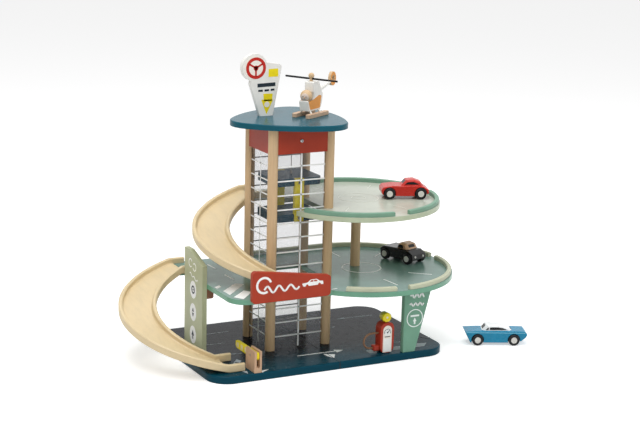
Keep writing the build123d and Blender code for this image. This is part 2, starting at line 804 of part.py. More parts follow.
tall_sign_middle_y = (tall_sign_front_y + tall_sign_back_y) / 2
with BuildPart() as tall_sign:
    with BuildSketch(side_plane(tall_sign_left_x)):
        with BuildLine():
            Polyline((tall_sign_front_y, base_top), (tall_sign_back_y, base_top),
                     (tall_sign_back_y, tall_sign_top_z),
                     (tall_sign_front_y + tall_sign_chamfer_y, tall_sign_top_z),
                     (tall_sign_front_y, tall_sign_top_z - tall_sign_chamfer_z), close=True)
        make_face()
        upper_corners = vertices().filter_by_position(Axis.Z, tall_sign_top_z - 20, tall_sign_top_z + 1)
        fillet(upper_corners, 5.0)
        with Locations((tall_sign_middle_y, base_top - tall_sign_tenon / 2)):
            Rectangle((tall_sign_back_y - tall_sign_front_y) / 2, tall_sign_tenon)
    extrude(amount=sign_board)
tall_sign.part.label = "tall_sign"
export_step(tall_sign.part, "parts/tall_sign.step")

bracket_left_x = tall_sign_left_x + sign_board
bracket_bottom_z = lower_top - deck_board - bracket_height
bracket_screw_radius = 1.5
with BuildPart() as sign_bracket:
    with BuildSketch(flat(bracket_bottom_z)):
        with Locations((bracket_left_x + bracket_width / 2, bracket_front_y + bracket_depth / 2)):
            Rectangle(bracket_width, bracket_depth)
    extrude(amount=bracket_height)
    chamfer(sign_bracket.faces().sort_by(Axis.Z)[0].edges().sort_by(Axis.X)[-1], 2.0)
    with BuildSketch(side_plane(bracket_left_x)):
        with Locations((bracket_front_y + bracket_depth / 2, bracket_bottom_z + bracket_height / 2)):
            Circle(bracket_screw_radius + glue_fit)
    extrude(amount=bracket_width, mode=Mode.SUBTRACT)
sign_bracket.part.label = "sign_bracket"
export_step(sign_bracket.part, "parts/sign_bracket.step")

with BuildPart() as bracket_screw:
    with BuildSketch(side_plane(bracket_left_x + bracket_width)):
        with Locations((bracket_front_y + bracket_depth / 2, bracket_bottom_z + bracket_height / 2)):
            Circle(bracket_screw_radius)
    extrude(amount=-bracket_width + 1.0)
    with BuildSketch(side_plane(bracket_left_x + bracket_width)):
        with Locations((bracket_front_y + bracket_depth / 2, bracket_bottom_z + bracket_height / 2)):
            Circle(3.0)
    extrude(amount=1.4)
    chamfer(bracket_screw.faces().sort_by(Axis.X)[-1].edges(), 0.7)
bracket_screw.part.label = "bracket_screw"
export_step(bracket_screw.part, "parts/bracket_screw.step")

support_top_z = lower_top - deck_board
with BuildPart() as support_sign:
    with BuildSketch(front_plane(support_front_y)):
        with BuildLine():
            Polyline((support_left_x, base_top), (support_bottom_right, base_top),
                     (support_left_x + support_head, support_top_z), (support_left_x, support_top_z), close=True)
        make_face()
        with Locations((support_left_x + support_foot / 2, base_top - tall_sign_tenon / 2)):
            Rectangle(support_foot / 2, tall_sign_tenon)
    extrude(amount=-support_board_thickness)
    chamfer(support_sign.faces().sort_by(Axis.Y)[0].edges().filter_by(Axis.Z), 0.8)
support_sign.part.label = "support_sign"
export_step(support_sign.part, "parts/support_sign.step")

# ---------------------------------------------------------------- fuel pump
pump_front_y = pump_y - pump_depth / 2
pump_left_x = pump_x - pump_width / 2
pump_top = base_top + pump_height
with BuildPart() as pump_body:
    with BuildSketch(front_plane(pump_front_y)):
        with Locations((pump_x, base_top + pump_height / 2)):
            Rectangle(pump_width, pump_height)
        fillet(vertices().group_by(Axis.Z)[-1], 0.4 * pump_width)
    extrude(amount=-pump_depth)
    fillet(pump_body.faces().sort_by(Axis.Y)[0].edges(), 1.2)
    with BuildSketch(side_plane(pump_left_x)):
        with Locations((pump_y, base_top + hose_z)):
            Circle(hose_radius + glue_fit)
    extrude(amount=hose_tail, mode=Mode.SUBTRACT)
pump_body.part.label = "pump_body"
export_step(pump_body.part, "parts/pump_body.step")

with BuildPart() as pump_globe:
    with BuildSketch(front_plane(pump_y)):
        with Locations((pump_x, pump_top + pump_globe_radius)):
            Circle(pump_globe_radius)
    extrude(amount=pump_globe_length / 2, both=True)
    fillet(pump_globe.edges().filter_by(GeomType.CIRCLE), 1.0)
    with BuildSketch(flat(pump_top)):
        with Locations((pump_x, pump_y)):
            Rectangle(2 * pump_globe_radius, pump_globe_length + 2)
    extrude(amount=0.4, mode=Mode.SUBTRACT)
pump_globe.part.label = "pump_globe"
export_step(pump_globe.part, "parts/pump_globe.step")

with BuildPart() as pump_nozzle:
    with BuildSketch(side_plane(pump_left_x)):
        with Locations((pump_y, base_top + nozzle_z)):
            RectangleRounded(nozzle_size, nozzle_size, 2.0)
    extrude(amount=-nozzle_size)
    chamfer(pump_nozzle.faces().sort_by(Axis.X)[0].edges(), 1.5)
    with BuildSketch(side_plane(pump_left_x - nozzle_size)):
        with Locations((pump_y, base_top + nozzle_z)):
            Circle(hose_radius + glue_fit)
    extrude(amount=hose_tail, mode=Mode.SUBTRACT)
pump_nozzle.part.label = "pump_nozzle"
export_step(pump_nozzle.part, "parts/pump_nozzle.step")

# the hose: straight out of the pump, round in a loop and straight into the nozzle
hose_route = [
    (111.0, 45.0), (103.0, 45.0), (95.0, 45.6), (86.6, 44.6), (80.2, 39.0), (78.6, 31.0),
    (81.8, 24.0), (88.0, 20.6), (94.5, 21.0), (101.0, 21.0),
]


def bend_radii(points):
    """Largest arc that the two runs beside each corner allow."""
    radii = []
    for before, corner, after in zip(points, points[1:], points[2:]):
        run_in = Vector(corner) - Vector(before)
        run_out = Vector(after) - Vector(corner)
        half_turn = radians(run_in.get_angle(run_out)) / 2
        radii.append(0.45 * min(run_in.length, run_out.length) / tan(half_turn))
    return radii


hose_points = [(x, pump_y, z) for x, z in hose_route]
hose_radii = bend_radii(hose_points)
print("hose bend radii", [round(r, 1) for r in hose_radii])
with BuildPart() as pump_hose:
    with BuildLine() as hose_line:
        FilletPolyline(*hose_points, radius=hose_radii)
    hose_wire = hose_line.wires()[0]
    with BuildSketch(Plane(origin=hose_points[0], z_dir=(-1, 0, 0))):
        Circle(hose_radius)
    sweep(path=hose_wire)
pump_hose.part.label = "pump_hose"
export_step(pump_hose.part, "parts/pump_hose.step")
print("hose length", round(hose_wire.length, 1))

# ---------------------------------------------------------------- barrier
barrier_top_z = base_top + barrier_height
pivot_z = barrier_top_z - barrier_pivot_depth
pivot_y = barrier_front_y + barrier_depth / 2
rest_floor_z = pivot_z - barrier_arm_height / 2 - seat_gap
tail_swing = hypot(barrier_tail, barrier_arm_height / 2) + 0.6
slot_step_y = pivot_y + barrier_arm_height / 2 + 2.0

with BuildPart() as barrier_block:
    with BuildSketch(flat(base_top)):
        with Locations((barrier_x, pivot_y)):
            Rectangle(barrier_width, barrier_depth)
    extrude(amount=barrier_height)
    chamfer(barrier_block.edges().filter_by(Axis.Z), 1.0)
    with BuildSketch(flat(barrier_top_z)):
        with Locations((barrier_x, pivot_y)):
            Rectangle(barrier_slot, barrier_depth)
    extrude(amount=-(barrier_top_z - rest_floor_z), mode=Mode.SUBTRACT)
    with BuildSketch(flat(barrier_top_z)):
        with Locations((barrier_x, (barrier_front_y + slot_step_y) / 2)):
            Rectangle(barrier_slot, slot_step_y - barrier_front_y)
    extrude(amount=-(barrier_pivot_depth + tail_swing), mode=Mode.SUBTRACT)
    with BuildSketch(side_plane(barrier_x)):
        with Locations((pivot_y, pivot_z)):
            Circle(barrier_pin_radius + glue_fit)
    extrude(amount=barrier_width, both=True, mode=Mode.SUBTRACT)
barrier_block.part.label = "barrier_block"
export_step(barrier_block.part, "parts/barrier_block.step")

with BuildPart() as barrier_arm:
    with BuildSketch(side_plane(barrier_x)):
        with Locations((pivot_y - barrier_tail + barrier_arm_length / 2, pivot_z)):
            Rectangle(barrier_arm_length, barrier_arm_height)
        fillet(vertices().group_by(Axis.Y)[0], 0.45 * barrier_arm_height)
        fillet(vertices().group_by(Axis.Y)[-1], 3.0)
        with Locations((pivot_y, pivot_z)):
            Circle(barrier_pin_radius + running_fit, mode=Mode.SUBTRACT)
    extrude(amount=barrier_arm_thickness / 2, both=True)
barrier_arm.part.label = "barrier_arm"
export_step(barrier_arm.part, "parts/barrier_arm.step")

with BuildPart() as barrier_pin:
    with BuildSketch(side_plane(barrier_x)):
        with Locations((pivot_y, pivot_z)):
            Circle(barrier_pin_radius)
    extrude(amount=barrier_width / 2, both=True)
barrier_pin.part.label = "barrier_pin"
export_step(barrier_pin.part, "parts/barrier_pin.step")


# ---------------------------------------------------------------- helicopter
def heading_plane(x, y, z, heading, aside=0.0):
    """Upright plane along a heading: local X runs along it and local Y is up."""
    angle = radians(heading)
    side = (sin(angle), -cos(angle))
    return Plane(origin=(x + aside * side[0], y + aside * side[1], z),
                 x_dir=(cos(angle), sin(angle), 0), z_dir=(side[0], side[1], 0))


heli_plane = heading_plane(heli_x, heli_y, roof_top, heli_heading)
heli_flat = Plane(origin=(heli_x, heli_y, roof_top), x_dir=heli_plane.x_dir, z_dir=(0, 0, 1))
skid_middle = heli_skid_height / 2 + seat_gap
mast_front = -6.0
nose_front = -22.0
sill = 27.0

strut_ends = []
for way in (-1, 1):
    for along in (-14.0, 12.0):
        foot = heli_plane.from_local_coords((along, skid_middle, way * heli_skid_spacing / 2))
        hip = heli_plane.from_local_coords((along, heli_belly + 3.0, way * (heli_width / 2 - 4.0)))
        strut_ends.append((foot, hip))

boom_root = (17.0, 40.0)                 # along the heading and up, just inside the back of the body
boom_tilt = radians(12.0)
boom_spigot_radius = 4.5
boom_dir = heli_plane.x_dir * cos(boom_tilt) + Vector(0, 0, sin(boom_tilt))
boom_start = heli_plane.from_local_coords((boom_root[0], boom_root[1], 0))
boom_plane = Plane(origin=boom_start, z_dir=boom_dir)

with BuildPart() as helicopter_body:
    with BuildSketch(heli_plane):
        with BuildLine():
            Polyline((nose_front + 3, heli_belly), (15, heli_belly), (20, 20), (22, 34), (10, heli_top),
                     (mast_front, heli_top), (mast_front, sill), (nose_front, sill), close=True)
        make_face()
        fillet(vertices().sort_by(Axis.Z)[-2:], 2.0)
    extrude(amount=heli_width / 2, both=True)
    chamfer(helicopter_body.faces().group_by(Axis.Z)[-1].edges(), 0.8)
    with BuildSketch(heli_plane):
        with Locations((mast_front - heli_pilot_radius + 2.0, sill + heli_pilot_radius - 3.0)):
            Circle(heli_pilot_radius + glue_fit)
    extrude(amount=heli_width, both=True, mode=Mode.SUBTRACT)
    with BuildSketch(heli_flat.offset(heli_top)):
        Circle(heli_pin_radius + running_fit)
    extrude(amount=-heli_pin_depth, mode=Mode.SUBTRACT)
    for foot, hip in strut_ends:
        with BuildSketch(Plane(origin=foot, z_dir=hip - foot)):
            Circle(heli_strut_radius + glue_fit)
        extrude(amount=(hip - foot).length + glue_fit, mode=Mode.SUBTRACT)
    with BuildSketch(boom_plane.offset(-boom_spigot)):
        Circle(boom_spigot_radius + glue_fit)
    extrude(amount=2 * boom_spigot, mode=Mode.SUBTRACT)
helicopter_body.part.label = "helicopter_body"
export_step(helicopter_body.part, "parts/helicopter_body.step")

pilot_centre = heli_plane.from_local_coords((mast_front - heli_pilot_radius + 2.0,
                                             sill + heli_pilot_radius - 3.0, 0))
with BuildPart() as helicopter_pilot:
    with Locations(pilot_centre):
        Sphere(heli_pilot_radius)
helicopter_pilot.part.label = "helicopter_pilot"
export_step(helicopter_pilot.part, "parts/helicopter_pilot.step")

ring_reach = heli_boom_length + 6.0
ring_centre = (boom_root[0] + ring_reach * cos(boom_tilt), boom_root[1] + ring_reach * sin(boom_tilt) + 3.0)
with BuildPart() as helicopter_tail_ring:
    with BuildSketch(heli_plane):
        with Locations(ring_centre):
            Ellipse(8.5, 11.5)
            Ellipse(4.2, 6.0, mode=Mode.SUBTRACT)
    extrude(amount=2.5, both=True)
helicopter_tail_ring.part.label = "helicopter_tail_ring"
export_step(helicopter_tail_ring.part, "parts/helicopter_tail_ring.step")

with BuildPart() as helicopter_tail:
    with BuildSketch(boom_plane):
        Circle(6.0)
    with BuildSketch(boom_plane.offset(heli_boom_length)):
        Circle(2.6)
    loft()
    add(helicopter_body.part, mode=Mode.SUBTRACT)
    add(helicopter_tail_ring.part, mode=Mode.SUBTRACT)
    with BuildSketch(boom_plane.offset(-boom_spigot)):
        Circle(boom_spigot_radius)
    extrude(amount=2 * boom_spigot)
helicopter_tail.part.label = "helicopter_tail"
export_step(helicopter_tail.part, "parts/helicopter_tail.step")

with BuildPart() as helicopter_skids:
    for way in (-1, 1):
        skid_plane = heading_plane(heli_x, heli_y, roof_top, heli_heading, way * heli_skid_spacing / 2)
        low = skid_plane.from_local_coords((0, seat_gap, 0))
        with BuildSketch(Plane(origin=low, x_dir=skid_plane.x_dir, z_dir=(0, 0, 1))):
            SlotOverall(heli_skid_length, heli_skid_width)
        extrude(amount=heli_skid_height)
    for foot, hip in strut_ends:
        with BuildSketch(Plane(origin=foot, z_dir=hip - foot)):
            Circle(heli_strut_radius)
        extrude(amount=(hip - foot).length)
helicopter_skids.part.label = "helicopter_skids"
export_step(helicopter_skids.part, "parts/helicopter_skids.step")

rotor_z = heli_top + 4.0
with BuildPart() as helicopter_rotor:
    rotor_start = heli_plane.from_local_coords((0, rotor_z, -heli_rotor_span / 2))
    with BuildSketch(Plane(origin=rotor_start, z_dir=heli_plane.z_dir)):
        Circle(heli_rotor_radius)
    extrude(amount=heli_rotor_span)
helicopter_rotor.part.label = "helicopter_rotor"
export_step(helicopter_rotor.part, "parts/helicopter_rotor.step")

with BuildPart() as helicopter_hub:
    with Locations(heli_plane.from_local_coords((0, rotor_z + heli_hub_radius, 0))):
        Sphere(heli_hub_radius)
    with BuildSketch(heli_flat.offset(heli_top - heli_pin_depth + 1.0)):
        Circle(heli_pin_radius)
    extrude(amount=heli_pin_depth - 1.0 + rotor_z - heli_top + heli_hub_radius)
    with BuildSketch(Plane(origin=rotor_start, z_dir=heli_plane.z_dir)):
        Circle(heli_rotor_radius)
    extrude(amount=heli_rotor_span, mode=Mode.SUBTRACT)
helicopter_hub.part.label = "helicopter_hub"
export_step(helicopter_hub.part, "parts/helicopter_hub.step")


# ---------------------------------------------------------------- cars
# side views along the heading and up from the ground; the cabin's view starts inside the body
coupe = {
    "body": [(-33, 5.5), (35, 5.5), (39, 10), (39.5, 16), (36, 20.5), (20, 22.5), (4, 22), (-20, 23), (-31, 21),
             (-39, 16), (-40, 11)],
    "cabin": [(8, 20.5), (-2, 31), (-15, 32), (-26, 28), (-31, 20.5)],
}
roadster = {
    "body": [(-33, 6), (30, 6), (36, 10), (37, 17), (30, 22), (4, 23.5), (-12, 22.5), (-26, 22.5), (-36, 17),
             (-38, 9)],
    "cabin": [(4, 20.5), (0, 31.5), (-6, 33.5), (-16, 32), (-24, 20.5)],
}
saloon = {
    "body": [(-34, 5), (43, 5), (52.5, 23.5), (30, 24.5), (-30, 24.5), (-48.5, 24), (-53, 19), (-51, 14), (-44, 8)],
    "cabin": [(26, 21), (16, 33.5), (-2, 34), (-15, 32), (-23, 28.5), (-31, 21)],
}
cars = {
    "red_car": {"at": (202.0, -21.0, upper_top), "heading": 159.0, "wheelbase": 52.0, "shape": coupe},
    "black_car": {"at": (216.0, -1.0, lower_top), "heading": 108.0, "wheelbase": 50.0, "shape": roadster},
    "blue_car": {"at": (330.5, -118.5, 0.0), "heading": 156.0, "wheelbase": 61.0, "shape": saloon},
}


def car_plane(car, aside=0.0):
    """Upright plane of a car along its heading, with its height measured from under the wheels."""
    x, y, ground = car["at"]
    return heading_plane(x, y, ground + seat_gap, car["heading"], aside)


def make_car_cabin(car):
    """Cabin: a broad middle, and sides that lean in towards the roof."""
    view = car["shape"]["cabin"]
    middle = (view[0][0] + view[-1][0]) / 2
    low = view[0][1]
    with BuildPart() as cabin:
        for way, aside, share in ((-1, cabin_width / 2, cabin_draw), (-1, cabin_flat / 2, 1.0),
                                  (1, cabin_flat / 2, 1.0), (1, cabin_width / 2, cabin_draw)):
            with BuildSketch(car_plane(car, way * aside)):
                with BuildLine():
                    Polyline(*[(middle + share * (x - middle), low + share * (z - low)) for x, z in view],
                             close=True)
                make_face()
        loft(ruled=True)
    return cabin


def make_car_body(car):
    """Wooden car: rounded body with its cabin, wheel arches and two axle bores."""
    plane = car_plane(car)
    with BuildPart() as body:
        with BuildSketch(plane):
            with BuildLine():
                Polyline(*car["shape"]["body"], close=True)
            make_face()
        extrude(amount=car_width / 2, both=True)
        side_faces = body.faces().filter_by(lambda f: abs(f.normal_at().dot(plane.z_dir)) > 0.99)
        fillet(side_faces.edges().filter_by(lambda e: e.center().Z > plane.origin.Z + 10), body_round)
        axle_points = [(-car["wheelbase"] / 2, wheel_radius), (car["wheelbase"] / 2, wheel_radius)]
        for way in (-1, 1):
            with BuildSketch(car_plane(car, way * car_width / 2)):
                with Locations(*axle_points):
                    Circle(wheel_radius + arch_gap)
            extrude(amount=-way * arch_depth, mode=Mode.SUBTRACT)
        with BuildSketch(plane):
            with Locations(*axle_points):
                Circle(car_axle_radius + running_fit)
        extrude(amount=car_width, both=True, mode=Mode.SUBTRACT)
        add(make_car_cabin(car).part)
    return body


def make_wheelset(car, along):
    """Axle with a wheel at each end; each wheel has a raised hub."""
    inner = car_width / 2 - arch_depth + wheel_side_gap
    with BuildPart() as wheelset:
        with BuildSketch(car_plane(car)):
            with Locations((along, wheel_radius)):
                Circle(car_axle_radius)
        extrude(amount=inner + wheel_width / 2, both=True)
        for way in (-1, 1):
            for radius, width in ((wheel_radius, wheel_width), (hub_radius, wheel_width + hub_proud)):
                with BuildSketch(car_plane(car, way * inner)):
                    with Locations((along, wheel_radius)):
                        Circle(radius)
                extrude(amount=way * width)
        rims = wheelset.edges().filter_by(GeomType.CIRCLE).filter_by(lambda e: e.radius > wheel_radius - 0.5)
        chamfer(rims, wheel_bevel)
    return wheelset


for name, car in cars.items():
    car_body = make_car_body(car)
    car_body.part.label = f"{name}_body"
    export_step(car_body.part, f"parts/{name}_body.step")
    for end, along in (("front", car["wheelbase"] / 2), ("rear", -car["wheelbase"] / 2)):
        wheelset = make_wheelset(car, along)
        wheelset.part.label = f"{name}_{end}_wheels"
        export_step(wheelset.part, f"parts/{name}_{end}_wheels.step")
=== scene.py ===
"""Looks of the wooden toy parking garage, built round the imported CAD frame. Metres, Z up, -Y front."""
import math

import bmesh
import bpy
from mathutils import Matrix, Vector


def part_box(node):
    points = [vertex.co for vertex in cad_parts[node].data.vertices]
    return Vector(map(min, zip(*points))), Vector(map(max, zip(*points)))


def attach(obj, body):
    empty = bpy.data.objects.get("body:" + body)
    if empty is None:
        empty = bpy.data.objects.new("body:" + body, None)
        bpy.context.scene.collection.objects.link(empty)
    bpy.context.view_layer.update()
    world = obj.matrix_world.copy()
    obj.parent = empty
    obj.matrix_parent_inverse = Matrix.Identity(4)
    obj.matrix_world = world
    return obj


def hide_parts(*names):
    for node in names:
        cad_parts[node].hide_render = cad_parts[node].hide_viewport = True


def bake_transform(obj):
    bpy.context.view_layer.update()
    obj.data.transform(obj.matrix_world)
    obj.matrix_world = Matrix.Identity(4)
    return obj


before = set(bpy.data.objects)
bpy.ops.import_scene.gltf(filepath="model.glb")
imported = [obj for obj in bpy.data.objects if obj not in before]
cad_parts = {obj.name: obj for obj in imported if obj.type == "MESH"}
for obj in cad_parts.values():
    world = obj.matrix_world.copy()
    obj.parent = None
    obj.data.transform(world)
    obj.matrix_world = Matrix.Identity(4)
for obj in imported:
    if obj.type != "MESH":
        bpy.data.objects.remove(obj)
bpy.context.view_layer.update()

MM = 0.001


# ------------------------------------------------------------ camera
photo_width, photo_height = 640, 439
focal_px, centre_u, centre_v = 1707.8, 328.44, 222.61
azimuth, elevation, roll = (math.radians(a) for a in (-27.766, 13.498, 1.459))
camera_place = Vector((-1.1955, -2.41035, 0.85685))
camera_data = bpy.data.cameras.new("camera")
camera = bpy.data.objects.new("camera", camera_data)
bpy.context.scene.collection.objects.link(camera)
camera_data.sensor_width = 36.0
camera_data.lens = focal_px * camera_data.sensor_width / photo_width
camera_data.shift_x = -(centre_u - photo_width / 2) / photo_width
camera_data.shift_y = (centre_v - photo_height / 2) / photo_width
backward = Vector((math.sin(azimuth) * math.cos(elevation), -math.cos(azimuth) * math.cos(elevation),
                   math.sin(elevation)))
level_right = Vector((math.cos(azimuth), math.sin(azimuth), 0))
level_up = backward.cross(level_right)
right_axis = level_right * math.cos(roll) + level_up * math.sin(roll)
up_axis = level_up * math.cos(roll) - level_right * math.sin(roll)
camera.matrix_world = (Matrix.Translation(camera_place)
                       @ Matrix((right_axis, up_axis, backward)).transposed().to_4x4())
bpy.context.scene.camera = camera
bpy.context.scene.view_settings.view_transform = "Standard"


# ------------------------------------------------------------ sizes read from the frame
def low(node):
    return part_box(node)[0]


def high(node):
    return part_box(node)[1]


def middle(node):
    return (low(node) + high(node)) / 2


BASE_TOP = high("base_left").z
LOWER_TOP = high("lower_deck").z
UPPER_TOP = high("upper_deck").z
ROOF_TOP = high("roof_deck").z
# Printed layers and the painted-shade layers at the board seam and screw slots share this thickness.
PRINT = 0.15 * MM            # thickness of a printed layer


# ------------------------------------------------------------ materials
def linear(code):
    """Linear colour of a written sRGB colour such as 'a93c20'."""
    parts = [int(code[i:i + 2], 16) / 255 for i in (0, 2, 4)]
    return tuple(c / 12.92 if c <= 0.04045 else ((c + 0.055) / 1.055) ** 2.4 for c in parts)


def shade(colour, factor):
    return tuple(min(1.0, c * factor) for c in colour)


class Nodes:
    """Short calls for building one node material."""

    def __init__(self, name):
        self.material = bpy.data.materials.new(name)
        self.material.use_nodes = True
        self.tree = self.material.node_tree
        self.shader = self.tree.nodes["Principled BSDF"]

    def add(self, kind, **values):
        node = self.tree.nodes.new(kind)
        for key, value in values.items():
            setattr(node, key, value)
        return node

    def link(self, source, target):
        self.tree.links.new(source, target)

    def coordinates(self, scale):
        place = self.add("ShaderNodeTexCoord")
        mapping = self.add("ShaderNodeMapping")
        mapping.inputs["Scale"].default_value = scale
        self.link(place.outputs["Object"], mapping.inputs["Vector"])
        return mapping.outputs["Vector"]

    def part(self, output, axis):
        """One component of a texture coordinate output, such as the height of the point."""
        place = self.add("ShaderNodeTexCoord")
        split = self.add("ShaderNodeSeparateXYZ")
        self.link(place.outputs[output], split.inputs[0])
        return split.outputs[axis]

    def step(self, value, start, end):
        """0 below start, 1 above end; start may be the larger one."""
        node = self.add("ShaderNodeMapRange")
        node.inputs["From Min"].default_value = start
        node.inputs["From Max"].default_value = end
        self.link(value, node.inputs["Value"])
        return node.outputs["Result"]

    def noise(self, scale, detail=3.0, stretch=(1, 1, 1), roughness=0.5):
        node = self.add("ShaderNodeTexNoise")
        node.inputs["Scale"].default_value = scale
        node.inputs["Detail"].default_value = detail
        node.inputs["Roughness"].default_value = roughness
        self.link(self.coordinates(stretch), node.inputs["Vector"])
        return node.outputs["Fac"]

    def ramp(self, value, stops):
        node = self.add("ShaderNodeValToRGB")
        elements = node.color_ramp.elements
        while len(elements) < len(stops):
            elements.new(0.5)
        for element, (position, colour) in zip(elements, stops):
            element.position = position
            element.color = (*colour, 1.0)
        self.link(value, node.inputs["Fac"])
        return node.outputs["Color"]

    def grey_ramp(self, value, start, end, at_start=0.0, at_end=1.0):
        return self.ramp(value, [(start, (at_start,) * 3), (end, (at_end,) * 3)])

    def mix(self, factor, first, second, blend="MIX"):
        node = self.add("ShaderNodeMix", data_type="RGBA", blend_type=blend)
        sockets = (node.inputs["Factor"], node.inputs[6], node.inputs[7])
        for socket, value in zip(sockets, (factor, first, second)):
            if isinstance(value, bpy.types.NodeSocket):
                self.link(value, socket)
            elif isinstance(value, (int, float)):
                socket.default_value = value
            else:
                socket.default_value = (*value, 1.0)
        return node.outputs[2]

    def edge(self, radius):
        """Mask that is 1 at sharp outer edges, from a bevelled normal set against the true one."""
        bevel = self.add("ShaderNodeBevel", samples=6)
        bevel.inputs["Radius"].default_value = radius
        flat = self.add("ShaderNodeNewGeometry")
        dot = self.add("ShaderNodeVectorMath", operation="DOT_PRODUCT")
        self.link(bevel.outputs["Normal"], dot.inputs[0])
        self.link(flat.outputs["True Normal"], dot.inputs[1])
        return self.grey_ramp(dot.outputs["Value"], 0.80, 0.97, 1.0, 0.0)

    def bump(self, height, strength, distance, radius):
        bevel = self.add("ShaderNodeBevel", samples=6)
        bevel.inputs["Radius"].default_value = radius
        node = self.add("ShaderNodeBump")
        node.inputs["Strength"].default_value = strength
        node.inputs["Distance"].default_value = distance
        self.link(height, node.inputs["Height"])
        self.link(bevel.outputs["Normal"], node.inputs["Normal"])
        self.link(node.outputs["Normal"], self.shader.inputs["Normal"])


def painted(name, code, roughness=0.38, wear="c9a37a", wear_amount=0.25, round_edge=1.0 * MM, coat=0.0,
            second=None, where=None, gloss=0.25):
    """Sprayed paint on wood: faint mottling and orange peel, with edges rubbed a little paler.

    second is another colour, used where a coordinate passes a value: where = (output, axis, start, end).
    """
    n = Nodes(name)
    cloud = n.noise(35.0, 4.0)
    base = [n.ramp(cloud, [(0.3, shade(linear(c), 0.93)), (0.7, shade(linear(c), 1.06))])
            for c in (code, second) if c]
    colour = base[0]
    if second:
        colour = n.mix(n.step(n.part(*where[:2]), *where[2:]), base[0], base[1])
    fibre = n.noise(60.0, 5.0, (1.0, 6.0, 6.0))
    rubbed = n.mix(n.grey_ramp(n.noise(90.0, 4.0), 0.45, 0.72), (0, 0, 0), n.edge(round_edge))
    worn = n.mix(wear_amount, colour, linear(wear))
    n.link(n.mix(rubbed, colour, worn), n.shader.inputs["Base Color"])
    n.link(n.grey_ramp(fibre, 0.2, 0.8, roughness - 0.05, roughness + 0.07), n.shader.inputs["Roughness"])
    n.shader.inputs["Specular IOR Level"].default_value = gloss
    n.shader.inputs["Coat Weight"].default_value = coat
    n.shader.inputs["Coat Roughness"].default_value = 0.12
    n.bump(fibre, 0.12, 0.25 * MM, round_edge)
    return n.material


def bare_wood(name, code, along="z", roughness=0.55, contrast=1.0, round_edge=0.8 * MM,
              second=None, above=0.0):
    """Beech or birch: long streaks, short dark flecks and a fine pore bump, along one axis.

    second is another colour, used above a height.
    """
    colour = linear(code)
    stretch = {"x": (0.05, 1, 1), "y": (1, 0.05, 1), "z": (1, 1, 0.05)}[along]
    n = Nodes(name)
    streaks = n.noise(130.0, 6.0, stretch, 0.6)
    dark, pale = shade(colour, 1 - 0.16 * contrast), shade(colour, 1 + 0.10 * contrast)
    grain = n.ramp(streaks, [(0.32, dark), (0.5, colour), (0.7, pale)])
    flecks = n.grey_ramp(n.noise(700.0, 2.0, stretch), 0.62, 0.70)
    flecked = n.mix(n.mix(0.35 * contrast, (0, 0, 0), flecks), grain, shade(colour, 0.72))
    clouds = n.ramp(n.noise(18.0, 2.0), [(0.3, (0.95, 0.94, 0.92)), (0.7, (1.0, 1.0, 1.0))])
    surface = n.mix(1.0, flecked, clouds, "MULTIPLY")
    if second:
        surface = n.mix(n.step(n.part("Object", 2), above, above + 0.2 * MM), surface, linear(second))
    n.link(surface, n.shader.inputs["Base Color"])
    n.link(n.grey_ramp(streaks, 0.3, 0.7, roughness - 0.08, roughness + 0.08), n.shader.inputs["Roughness"])
    n.bump(streaks, 0.25, 0.2 * MM, round_edge)
    return n.material


def printed(name, code, roughness=0.4, second=None, where=None, gloss=0.2):
    """A screen-printed layer of ink, slightly uneven, also used for painted shade; it may fade into a second
    colour, which on the road is a painted shade.
    """
    n = Nodes(name)
    grain = n.noise(220.0, 3.0)
    inks = [n.ramp(grain, [(0.3, shade(linear(c), 0.96)), (0.7, shade(linear(c), 1.04))])
            for c in (code, second) if c]
    colour = inks[0]
    if second:
        colour = n.mix(n.step(n.part(*where[:2]), *where[2:]), inks[0], inks[1])
    n.link(colour, n.shader.inputs["Base Color"])
    evenness = n.grey_ramp(n.noise(90.0), 0.3, 0.7, roughness - 0.05, roughness + 0.05)
    n.link(evenness, n.shader.inputs["Roughness"])
    n.shader.inputs["Specular IOR Level"].default_value = gloss
    return n.material


def acrylic(name):
    """Clear sheet: mostly see-through, with a faint smoky body and a smooth gloss."""
    n = Nodes(name)
    body = n.ramp(n.noise(6.0, 2.0), [(0.3, linear("666a72")), (0.7, linear("6f737a"))])
    n.link(body, n.shader.inputs["Base Color"])
    n.shader.inputs["Roughness"].default_value = 0.06
    n.shader.inputs["Alpha"].default_value = 0.14
    return n.material


def metal(name, code, roughness=0.3):
    """Turned steel with fine brushing."""
    n = Nodes(name)
    brushed = n.noise(900.0, 3.0, (1, 1, 0.1))
    colour = linear(code)
    n.link(n.ramp(brushed, [(0.3, shade(colour, 0.85)), (0.7, colour)]), n.shader.inputs["Base Color"])
    n.shader.inputs["Metallic"].default_value = 1.0
    n.link(n.grey_ramp(brushed, 0.3, 0.7, roughness - 0.06, roughness + 0.08), n.shader.inputs["Roughness"])
    return n.material


def fibre_cord(name, code):
    """Twisted white cord: fine fibres with a soft nap."""
    n = Nodes(name)
    fibres = n.noise(2500.0, 2.0)
    colour = linear(code)
    n.link(n.ramp(fibres, [(0.3, shade(colour, 0.82)), (0.7, colour)]), n.shader.inputs["Base Color"])
    n.shader.inputs["Roughness"].default_value = 0.85
    n.shader.inputs["Sheen Weight"].default_value = 0.2
    n.bump(fibres, 0.4, 0.1 * MM, 0.1 * MM)
    return n.material


# Mask of the faces that look up; on the decks it gives the tops their own colour, a painted difference of
# light between tops and edges.
TOP_SIDES_PAINTED_LIGHT = ("Normal", 2, 0.90, 0.97)      # faces that look up

